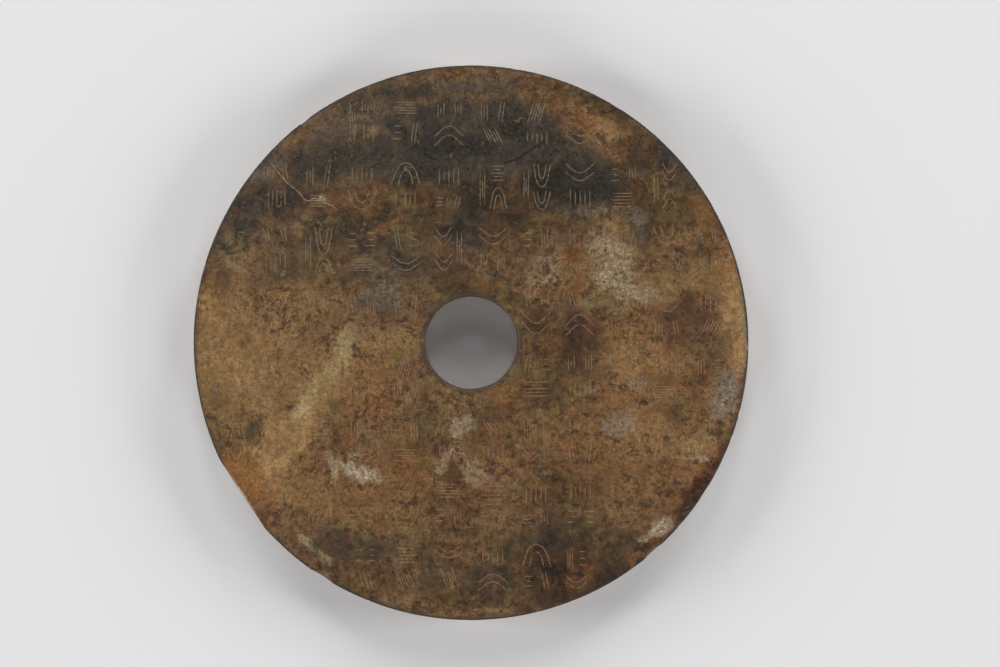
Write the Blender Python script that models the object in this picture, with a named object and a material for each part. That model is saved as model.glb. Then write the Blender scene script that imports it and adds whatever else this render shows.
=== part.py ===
"""Jade bi disc: one flat round slab of stone with a round hole through its middle.

It lies on its plain back with the incised face up (+Z). The origin is on the underside,
at the centre of the disc. +Y is the top of the inscription. All sizes are in metres.
"""
import math
import random

import bmesh
import bpy
from mathutils import Matrix, Vector

# Disc
OUTER_DIAMETER = 0.220
THICKNESS = 0.010
RIM_ROUNDING = 0.0009
RIM_SIDES = 96
RIM_ARC_STEPS = 2

# Hole, drilled from both faces, so it is narrowest half way through
HOLE_DIAMETER = 0.0365
HOLE_FLARE = 0.0004
HOLE_CHAMFER = 0.0006
HOLE_SIDES = 48

# Stretch of the rim that is ground flat
FLAT_AZIMUTH_DEG = 213.5
FLAT_DEPTH = 0.0012

# Chips out of the upper edges: azimuth in degrees, length along the edge, depth of the bite
RIM_CHIP_BROKEN = (311.0, 0.0085, 0.0009)
RIM_CHIP_WORN = (237.5, 0.0100, 0.0007)
RIM_CHIP_SMALL = (127.0, 0.0050, 0.0005)
HOLE_CHIP = (327.0, 0.0050, 0.0008)
CHIP_RAISE_SHARE = 0.45
CHIP_FACETS = 3

# Inscription: a grid of signs in columns, each sign a cluster of short grooves
COLUMN_PITCH = 0.01725
COLUMN_GAP = 0.0058
ROW_PITCH = 0.0252
ROW_GAP = 0.0070
INSCRIPTION_DROP = 0.0009
RIM_CLEARANCE = 0.0016
HOLE_CLEARANCE = 0.0008
LEAST_SIGN_SHARE = 0.6
STROKE_WIDTH = 0.00055
STROKE_DEPTH = 0.00032
CUTTER_STAND = 0.0001

# Signs worn away altogether, by row from the top and column from the left
WORN_AWAY = ((7, 2), (7, 11))

# Blocks of a sign, as shares of its width and height: the gap between them, how far their
# division may lie off the middle, and from what size a block counts as wide or tall
BLOCK_GAP_SHARE = 0.09
SPLIT_SHARE = 0.14
SIDE_SHARE = 0.1
WIDE_BLOCK_SHARE = 0.55
TALL_BLOCK_SHARE = 0.9
WIDE_STROKE_COUNT = 3
NARROW_STROKE_COUNT = 2

# Strokes in a block, as shares of its width and height
LEVEL_TRIM_SHARE = 0.22
UPRIGHT_TRIM_SHARE = 0.2
SLANT_LEAN_SHARE = 0.3
SLANT_INSET_SHARE = 0.2
INNER_HOOP_SHARE = 0.52
HOOP_CROWN_SHARE = 0.7
HOOP_FLAT_SHARE = 0.5
BEND_DROP_SHARE = 0.4

# How much wider a groove may grow at a corner
LEAST_MITRE = 0.5
SHARP_ANGLE_DEG = 35.0
UPWARD = 0.999

STONE_COLOUR = (0.118, 0.074, 0.038, 1.0)
STONE_ROUGHNESS = 0.38


def clear_scene():
    """Remove every object of the open scene."""
    for thing in list(bpy.data.objects):
        bpy.data.objects.remove(thing, do_unlink=True)


def stone_material():
    """Return the brown polished stone."""
    material = bpy.data.materials.new("brown_jade")
    material.use_nodes = True
    shader = material.node_tree.nodes["Principled BSDF"]
    shader.inputs["Base Color"].default_value = STONE_COLOUR
    shader.inputs["Roughness"].default_value = STONE_ROUGHNESS
    shader.inputs["Metallic"].default_value = 0.0
    return material


def add_object(name, bm):
    """Turn a bmesh into an object of the scene."""
    mesh = bpy.data.meshes.new(name)
    bm.to_mesh(mesh)
    bm.free()
    thing = bpy.data.objects.new(name, mesh)
    bpy.context.scene.collection.objects.link(thing)
    return thing


def add_cutter(name, bm):
    """Turn a bmesh into a cutter, which shows as wires and isn't part of the disc."""
    bmesh.ops.recalc_face_normals(bm, faces=bm.faces)
    cutter = add_object(name, bm)
    cutter.hide_render = True
    cutter.display_type = "WIRE"
    return cutter


def cut_away(thing, cutter):
    """Leave a live Boolean on an object that takes the cutter's shape out of it."""
    modifier = thing.modifiers.new(cutter.name, "BOOLEAN")
    modifier.operation = "DIFFERENCE"
    modifier.solver = "EXACT"
    modifier.object = cutter


def spin_profile(bm, points, sides):
    """Turn an open profile of (radius, height) points once round the Z axis."""
    verts = [bm.verts.new((radius, 0.0, height)) for radius, height in points]
    edges = [bm.edges.new(pair) for pair in zip(verts, verts[1:])]
    bmesh.ops.spin(
        bm,
        geom=verts + edges,
        cent=(0.0, 0.0, 0.0),
        axis=(0.0, 0.0, 1.0),
        angle=math.tau,
        steps=sides,
        use_merge=True,
    )


def rim_profile():
    """Return the rim's section from the underside to the upper face, with rounded edges."""
    centre_radius = OUTER_DIAMETER / 2.0 - RIM_ROUNDING
    quarter = math.pi / 2.0
    points = []
    for centre_height, start in ((RIM_ROUNDING, -quarter), (THICKNESS - RIM_ROUNDING, 0.0)):
        for step in range(RIM_ARC_STEPS + 1):
            angle = start + quarter * step / RIM_ARC_STEPS
            radius = centre_radius + RIM_ROUNDING * math.cos(angle)
            points.append((radius, centre_height + RIM_ROUNDING * math.sin(angle)))
    return points


def grind_flat(bm):
    """Press the rim back to a chord over its ground stretch, each ring by the same depth."""
    azimuth = math.radians(FLAT_AZIMUTH_DEG)
    outward = Vector((math.cos(azimuth), math.sin(azimuth), 0.0))
    for vert in bm.verts:
        limit = vert.co.to_2d().length - FLAT_DEPTH
        excess = vert.co.dot(outward) - limit
        if excess > 0.0:
            vert.co -= outward * excess


def grid_lines(pitch, centre):
    """Return the lines between cells of a grid across the disc, the middle line on centre."""
    half_count = int(OUTER_DIAMETER / 2.0 / pitch)
    return [centre + pitch * index for index in range(-half_count, half_count + 1)]


def divide_upper_face(bm):
    """Split the upper face along the grid, so that each sign lies in a face of its own."""
    lines = [(Vector((1.0, 0.0, 0.0)), place) for place in grid_lines(COLUMN_PITCH, 0.0)]
    lines += [(Vector((0.0, 1.0, 0.0)), place) for place in grid_lines(ROW_PITCH, -INSCRIPTION_DROP)]
    for normal, place in lines:
        faces = [face for face in bm.faces if face.normal.z > UPWARD]
        edges = {edge for face in faces for edge in face.edges}
        verts = {vert for face in faces for vert in face.verts}
        bmesh.ops.bisect_plane(
            bm,
            geom=faces + list(edges) + list(verts),
            dist=1e-6,
            plane_co=normal * place,
            plane_no=normal,
        )


def slab():
    """Return the solid disc before its hole, chips and strokes are cut."""
    bm = bmesh.new()
    spin_profile(bm, rim_profile(), RIM_SIDES)
    grind_flat(bm)
    bmesh.ops.holes_fill(bm, edges=bm.edges, sides=0)
    bmesh.ops.recalc_face_normals(bm, faces=bm.faces)
    divide_upper_face(bm)
    return add_object("bi_disc", bm)


def hole_cutter():
    """Return the hole's shape: flared and chamfered to both faces, running past them."""
    narrow = HOLE_DIAMETER / 2.0
    mouth = narrow + HOLE_FLARE
    wide = mouth + HOLE_CHAMFER + CUTTER_STAND
    below = -CUTTER_STAND
    above = THICKNESS + CUTTER_STAND
    points = [
        (wide, below),
        (mouth, HOLE_CHAMFER),
        (narrow, THICKNESS / 2.0),
        (mouth, THICKNESS - HOLE_CHAMFER),
        (wide, above),
    ]
    bm = bmesh.new()
    spin_profile(bm, points, HOLE_SIDES)
    bmesh.ops.holes_fill(bm, edges=bm.edges, sides=0)
    return add_cutter("hole_cutter", bm)


def add_chip(bm, edge_radius, chip, side):
    """Add a ball that bites into an upper edge; side is 1 at the rim and -1 in the hole."""
    azimuth_deg, length, bite = chip
    ball_radius = (length * length / 4.0 + bite * bite) / (2.0 * bite)
    distance = edge_radius + side * (ball_radius - bite)
    azimuth = math.radians(azimuth_deg)
    height = THICKNESS + ball_radius * CHIP_RAISE_SHARE
    place = Matrix.Translation((distance * math.cos(azimuth), distance * math.sin(azimuth), height))
    turn = Matrix.Rotation(azimuth, 4, "Z")
    bmesh.ops.create_icosphere(bm, subdivisions=CHIP_FACETS, radius=ball_radius, matrix=place @ turn)


def chip_cutter():
    """Return the balls that leave the small chips."""
    bm = bmesh.new()
    for chip in (RIM_CHIP_BROKEN, RIM_CHIP_WORN, RIM_CHIP_SMALL):
        add_chip(bm, OUTER_DIAMETER / 2.0, chip, 1.0)
    return add_cutter("chip_cutter", bm)


def level_hatch(block, count, chooser):
    """Return level strokes one above the other, of unlike lengths."""
    left, right, low, high = block
    strokes = []
    for index in range(count):
        height = low + (high - low) * (index + 0.5) / count
        shrink = (right - left) * chooser.uniform(0.0, LEVEL_TRIM_SHARE)
        start = left + shrink * chooser.random()
        strokes.append([(start, height), (start + right - left - shrink, height)])
    return strokes


def upright_hatch(block, count, chooser):
    """Return upright strokes side by side, with uneven ends."""
    left, right, low, high = block
    strokes = []
    for index in range(count):
        across = left + (right - left) * (index + 0.5) / count
        foot = low + (high - low) * chooser.uniform(0.0, UPRIGHT_TRIM_SHARE)
        top = high - (high - low) * chooser.uniform(0.0, UPRIGHT_TRIM_SHARE)
        strokes.append([(across, foot), (across, top)])
    return strokes


def slant_hatch(block, count, chooser):
    """Return slanting strokes side by side."""
    left, right, low, high = block
    lean = (right - left) * SLANT_LEAN_SHARE * chooser.choice((-1.0, 1.0))
    strokes = []
    for index in range(count):
        share = (index + 0.5) / count
        across = left + (right - left) * (SLANT_INSET_SHARE + (1.0 - 2.0 * SLANT_INSET_SHARE) * share)
        strokes.append([(across - lean / 2.0, low), (across + lean / 2.0, high)])
    return strokes


def nested_hoops(block, chooser):
    """Return two bent strokes one inside the other, both open upwards or both downwards."""
    left, right, low, high = block
    if chooser.random() < 0.5:
        low, high = high, low
    middle = (left + right) / 2.0
    strokes = []
    for size in (1.0, INNER_HOOP_SHARE):
        reach = (right - left) / 2.0 * size
        crown = low + (high - low) * (1.0 - HOOP_CROWN_SHARE + HOOP_CROWN_SHARE * size)
        flat = reach * HOOP_FLAT_SHARE
        rising = [(middle - reach, low), (middle - flat, crown)]
        falling = [(middle + flat, crown), (middle + reach, low)]
        strokes.append(rising + falling)
    return strokes


def nested_bends(block, chooser):
    """Return two angled strokes one inside the other, both pointing up or both down."""
    left, right, low, high = block
    if chooser.random() < 0.5:
        low, high = high, low
    middle = (left + right) / 2.0
    strokes = []
    for drop in (0.0, BEND_DROP_SHARE):
        tip = high - (high - low) * drop
        foot = low + (high - low) * (BEND_DROP_SHARE - drop)
        strokes.append([(left, foot), (middle, tip), (right, foot)])
    return strokes


def block_strokes(block, count, chooser):
    """Return one block of a sign: uprights if it is tall, hatching if narrow, or else any kind."""
    left, right, low, high = block
    if high - low > TALL_BLOCK_SHARE:
        return upright_hatch(block, count, chooser)
    kinds = 5 if right - left > WIDE_BLOCK_SHARE else 3
    kind = chooser.randrange(kinds)
    if kind == 0:
        return level_hatch(block, count, chooser)
    if kind == 1:
        return upright_hatch(block, count, chooser)
    if kind == 2:
        return slant_hatch(block, count, chooser)
    if kind == 3:
        return nested_hoops(block, chooser)
    return nested_bends(block, chooser)


def sign_blocks(chooser):
    """Divide a sign into blocks: the (left, right, low, high) shares and stroke count of each."""
    split_up = chooser.uniform(-SPLIT_SHARE, SPLIT_SHARE)
    foot = (-0.5, split_up - BLOCK_GAP_SHARE / 2.0)
    head = (split_up + BLOCK_GAP_SHARE / 2.0, 0.5)
    plan = chooser.randrange(4)
    side = chooser.choice((-1.0, 1.0))
    near = sorted((side * 0.5, side * (SIDE_SHARE + BLOCK_GAP_SHARE)))
    far = sorted((side * SIDE_SHARE, side * -0.5))
    halves = ((-0.5, -BLOCK_GAP_SHARE), (BLOCK_GAP_SHARE, 0.5))
    if plan == 0:
        return [((-0.5, 0.5, *part), WIDE_STROKE_COUNT) for part in (head, foot)]
    if plan == 1:
        blocks = [((*near, -0.5, 0.5), NARROW_STROKE_COUNT)]
        blocks += [((*far, *head), WIDE_STROKE_COUNT), ((*far, *foot), NARROW_STROKE_COUNT)]
        return blocks
    whole, shared = (head, foot) if plan == 2 else (foot, head)
    blocks = [((-0.5, 0.5, *whole), WIDE_STROKE_COUNT)]
    blocks += [((*half, *shared), NARROW_STROKE_COUNT) for half in halves]
    return blocks


def sign_strokes(chooser):
    """Return the strokes of one made-up sign in a box of one by one about its centre."""
    strokes = []
    for block, count in sign_blocks(chooser):
        strokes += block_strokes(block, count, chooser)
    return strokes


def cell_centres(pitch, centre):
    """Return the middles of the cells between a grid's lines."""
    return [line + pitch / 2.0 for line in grid_lines(pitch, centre)[:-1]]


def sign_span(across, up):
    """Return the left and right sides of a sign, narrowed at the rim, or None if none fits."""
    half_width = (COLUMN_PITCH - COLUMN_GAP) / 2.0
    half_height = (ROW_PITCH - ROW_GAP) / 2.0
    nearest = Vector((max(abs(across) - half_width, 0.0), max(abs(up) - half_height, 0.0)))
    if nearest.length < HOLE_DIAMETER / 2.0 + HOLE_FLARE + HOLE_CHAMFER + HOLE_CLEARANCE:
        return None
    limit = OUTER_DIAMETER / 2.0 - RIM_CLEARANCE
    reach = math.sqrt(max(limit ** 2 - (abs(up) + half_height) ** 2, 0.0))
    left = max(across - half_width, -reach)
    right = min(across + half_width, reach)
    if right - left < 2.0 * half_width * LEAST_SIGN_SHARE:
        return None
    return left, right


def clear_of_flat(stroke):
    """Tell whether a stroke keeps its distance from the ground stretch of the rim."""
    azimuth = math.radians(FLAT_AZIMUTH_DEG)
    outward = Vector((math.cos(azimuth), math.sin(azimuth)))
    limit = OUTER_DIAMETER / 2.0 - FLAT_DEPTH - RIM_CLEARANCE
    return all(point.dot(outward) < limit for point in stroke)


def inscription():
    """Return all the strokes on the face as lists of points in the plane of the disc."""
    height = ROW_PITCH - ROW_GAP
    rows = list(reversed(cell_centres(ROW_PITCH, -INSCRIPTION_DROP)))
    strokes = []
    for row, up in enumerate(rows, 1):
        for column, across in enumerate(cell_centres(COLUMN_PITCH, 0.0), 1):
            span = sign_span(across, up)
            if span is None or (row, column) in WORN_AWAY:
                continue
            left, right = span
            for points in sign_strokes(random.Random(100 * row + column)):
                middle = (left + right) / 2.0
                stroke = [Vector((middle + x * (right - left), up + y * height)) for x, y in points]
                if clear_of_flat(stroke):
                    strokes.append(stroke)
    return strokes


def add_groove(bm, stroke):
    """Add the wedge that cuts one stroke, with its keel below the face and its top above."""
    slope = STROKE_WIDTH / 2.0 / STROKE_DEPTH
    half_top = slope * (STROKE_DEPTH + CUTTER_STAND)
    top = THICKNESS + CUTTER_STAND
    keel = THICKNESS - STROKE_DEPTH
    rings = []
    for index, point in enumerate(stroke):
        before = stroke[max(index - 1, 0)]
        after = stroke[min(index + 1, len(stroke) - 1)]
        along_in = (point - before).normalized()
        along_out = (after - point).normalized()
        along = (along_in + along_out).normalized()
        aside = Vector((-along.y, along.x))
        straight = along_in if index else along_out
        widening = half_top / max(abs(along.dot(straight)), LEAST_MITRE)
        end = (index == len(stroke) - 1) - (index == 0)
        tip = point + along * (end * slope * CUTTER_STAND)
        root = point - along * (end * STROKE_WIDTH / 2.0)
        left = bm.verts.new((*(tip + aside * widening), top))
        right = bm.verts.new((*(tip - aside * widening), top))
        middle = bm.verts.new((*root, keel))
        rings.append((left, right, middle))
    bm.faces.new(rings[0])
    bm.faces.new(rings[-1])
    for near, far in zip(rings, rings[1:]):
        for side in range(3):
            other = (side + 1) % 3
            bm.faces.new((near[side], near[other], far[other], far[side]))


def stroke_cutter():
    """Return the wedges that cut the whole inscription."""
    bm = bmesh.new()
    for stroke in inscription():
        add_groove(bm, stroke)
    return add_cutter("stroke_cutter", bm)


def hole_chip_cutter():
    """Return the ball that leaves the chip on the hole's mouth."""
    bm = bmesh.new()
    add_chip(bm, HOLE_DIAMETER / 2.0 + HOLE_FLARE + HOLE_CHAMFER, HOLE_CHIP, -1.0)
    return add_cutter("hole_chip_cutter", bm)


def build():
    """Build the disc with its cutters live on it."""
    clear_scene()
    disc = slab()
    disc.data.materials.append(stone_material())
    for cutter in (hole_cutter(), chip_cutter(), hole_chip_cutter(), stroke_cutter()):
        cut_away(disc, cutter)
    disc.data.shade_smooth()
    disc.data.set_sharp_from_angle(angle=math.radians(SHARP_ANGLE_DEG))


build()
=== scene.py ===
"""Looks of the jade bi disc: its altered stone, its incised face and the studio round it.

The disc lies on its back. The camera looks straight down on the incised face, with +X to the
right and +Y to the top of the picture. All sizes are in metres unless a name says otherwise.
"""

import logging
import math
import random
from collections.abc import Iterable
from dataclasses import dataclass, field
from enum import Enum

import bmesh
import bpy
import numpy as np
from mathutils import Matrix, Vector, noise


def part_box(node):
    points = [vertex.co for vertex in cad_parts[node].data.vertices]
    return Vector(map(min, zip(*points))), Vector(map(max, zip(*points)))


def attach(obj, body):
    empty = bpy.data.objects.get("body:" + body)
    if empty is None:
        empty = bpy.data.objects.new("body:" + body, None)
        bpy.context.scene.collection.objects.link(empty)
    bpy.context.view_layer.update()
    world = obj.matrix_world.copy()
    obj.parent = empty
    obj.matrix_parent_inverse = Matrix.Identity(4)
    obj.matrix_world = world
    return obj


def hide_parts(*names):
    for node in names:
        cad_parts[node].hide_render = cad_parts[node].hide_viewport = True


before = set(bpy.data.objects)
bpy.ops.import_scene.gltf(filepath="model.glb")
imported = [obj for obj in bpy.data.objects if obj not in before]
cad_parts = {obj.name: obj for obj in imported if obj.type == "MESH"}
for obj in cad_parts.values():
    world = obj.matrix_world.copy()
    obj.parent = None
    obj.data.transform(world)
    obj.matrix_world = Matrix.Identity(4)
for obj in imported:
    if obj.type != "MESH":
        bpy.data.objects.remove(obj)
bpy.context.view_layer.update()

Colour = tuple[float, float, float]
Point = tuple[float, float]
Pair = tuple[float, float]
Triple = tuple[float, float, float]
Stroke = list[Point]
Block = tuple[float, float, float, float]

NODE = "bi_disc"
LOW_CORNER, HIGH_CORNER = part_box(NODE)
OUTER_RADIUS = (HIGH_CORNER.x - LOW_CORNER.x) / 2.0
THICKNESS = HIGH_CORNER.z - LOW_CORNER.z


@dataclass(frozen=True)
class Photo:
    """The photograph's frame and where the disc lies in it, in pixels."""

    width: float = 1000.0
    height: float = 667.0
    disc_x: float = 471.0
    disc_y: float = 342.8
    disc_radius: float = 277.6

    @property
    def pixel(self) -> float:
        """Real size of one pixel on the disc's face."""
        return OUTER_RADIUS / self.disc_radius

    def place(self, x: float, y: float) -> Vector:
        """Turn a pixel into a place on the face.

        Args:
            x: pixels from the picture's left side.
            y: pixels down from its top.

        Returns:
            The place in the plane of the disc.
        """
        return Vector(((x - self.disc_x) * self.pixel, (self.disc_y - y) * self.pixel))


PHOTO = Photo()


def srgb(red: float, green: float, blue: float) -> Colour:
    """Turn screen values from 0 to 255 into the linear colour that shaders take."""
    shares = (red / 255.0, green / 255.0, blue / 255.0)
    return tuple(((share + 0.055) / 1.055) ** 2.4 if share > 0.04 else share / 12.92 for share in shares)


class Tint(Enum):
    """The kinds of change in the stone; each is an attribute on the disc's points."""

    CLOUD = "cloud"
    SLATE = "slate"
    UMBER = "umber"
    HONEY = "honey"
    AMBER = "amber"
    CHALK = "chalk"
    FROST = "frost"
    MOSS = "moss"
    SHADE = "shade"
    DUST = "dust"


@dataclass(frozen=True)
class Patch:
    """One stained, bleached or crusted area of the face.

    Sizes and places are in pixels of the photograph, and turn is in degrees anticlockwise.
    """

    name: str
    x: float
    y: float
    along: float
    across: float
    turn: float = 0.0
    strength: float = 1.0
    softness: float = 0.45


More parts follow.
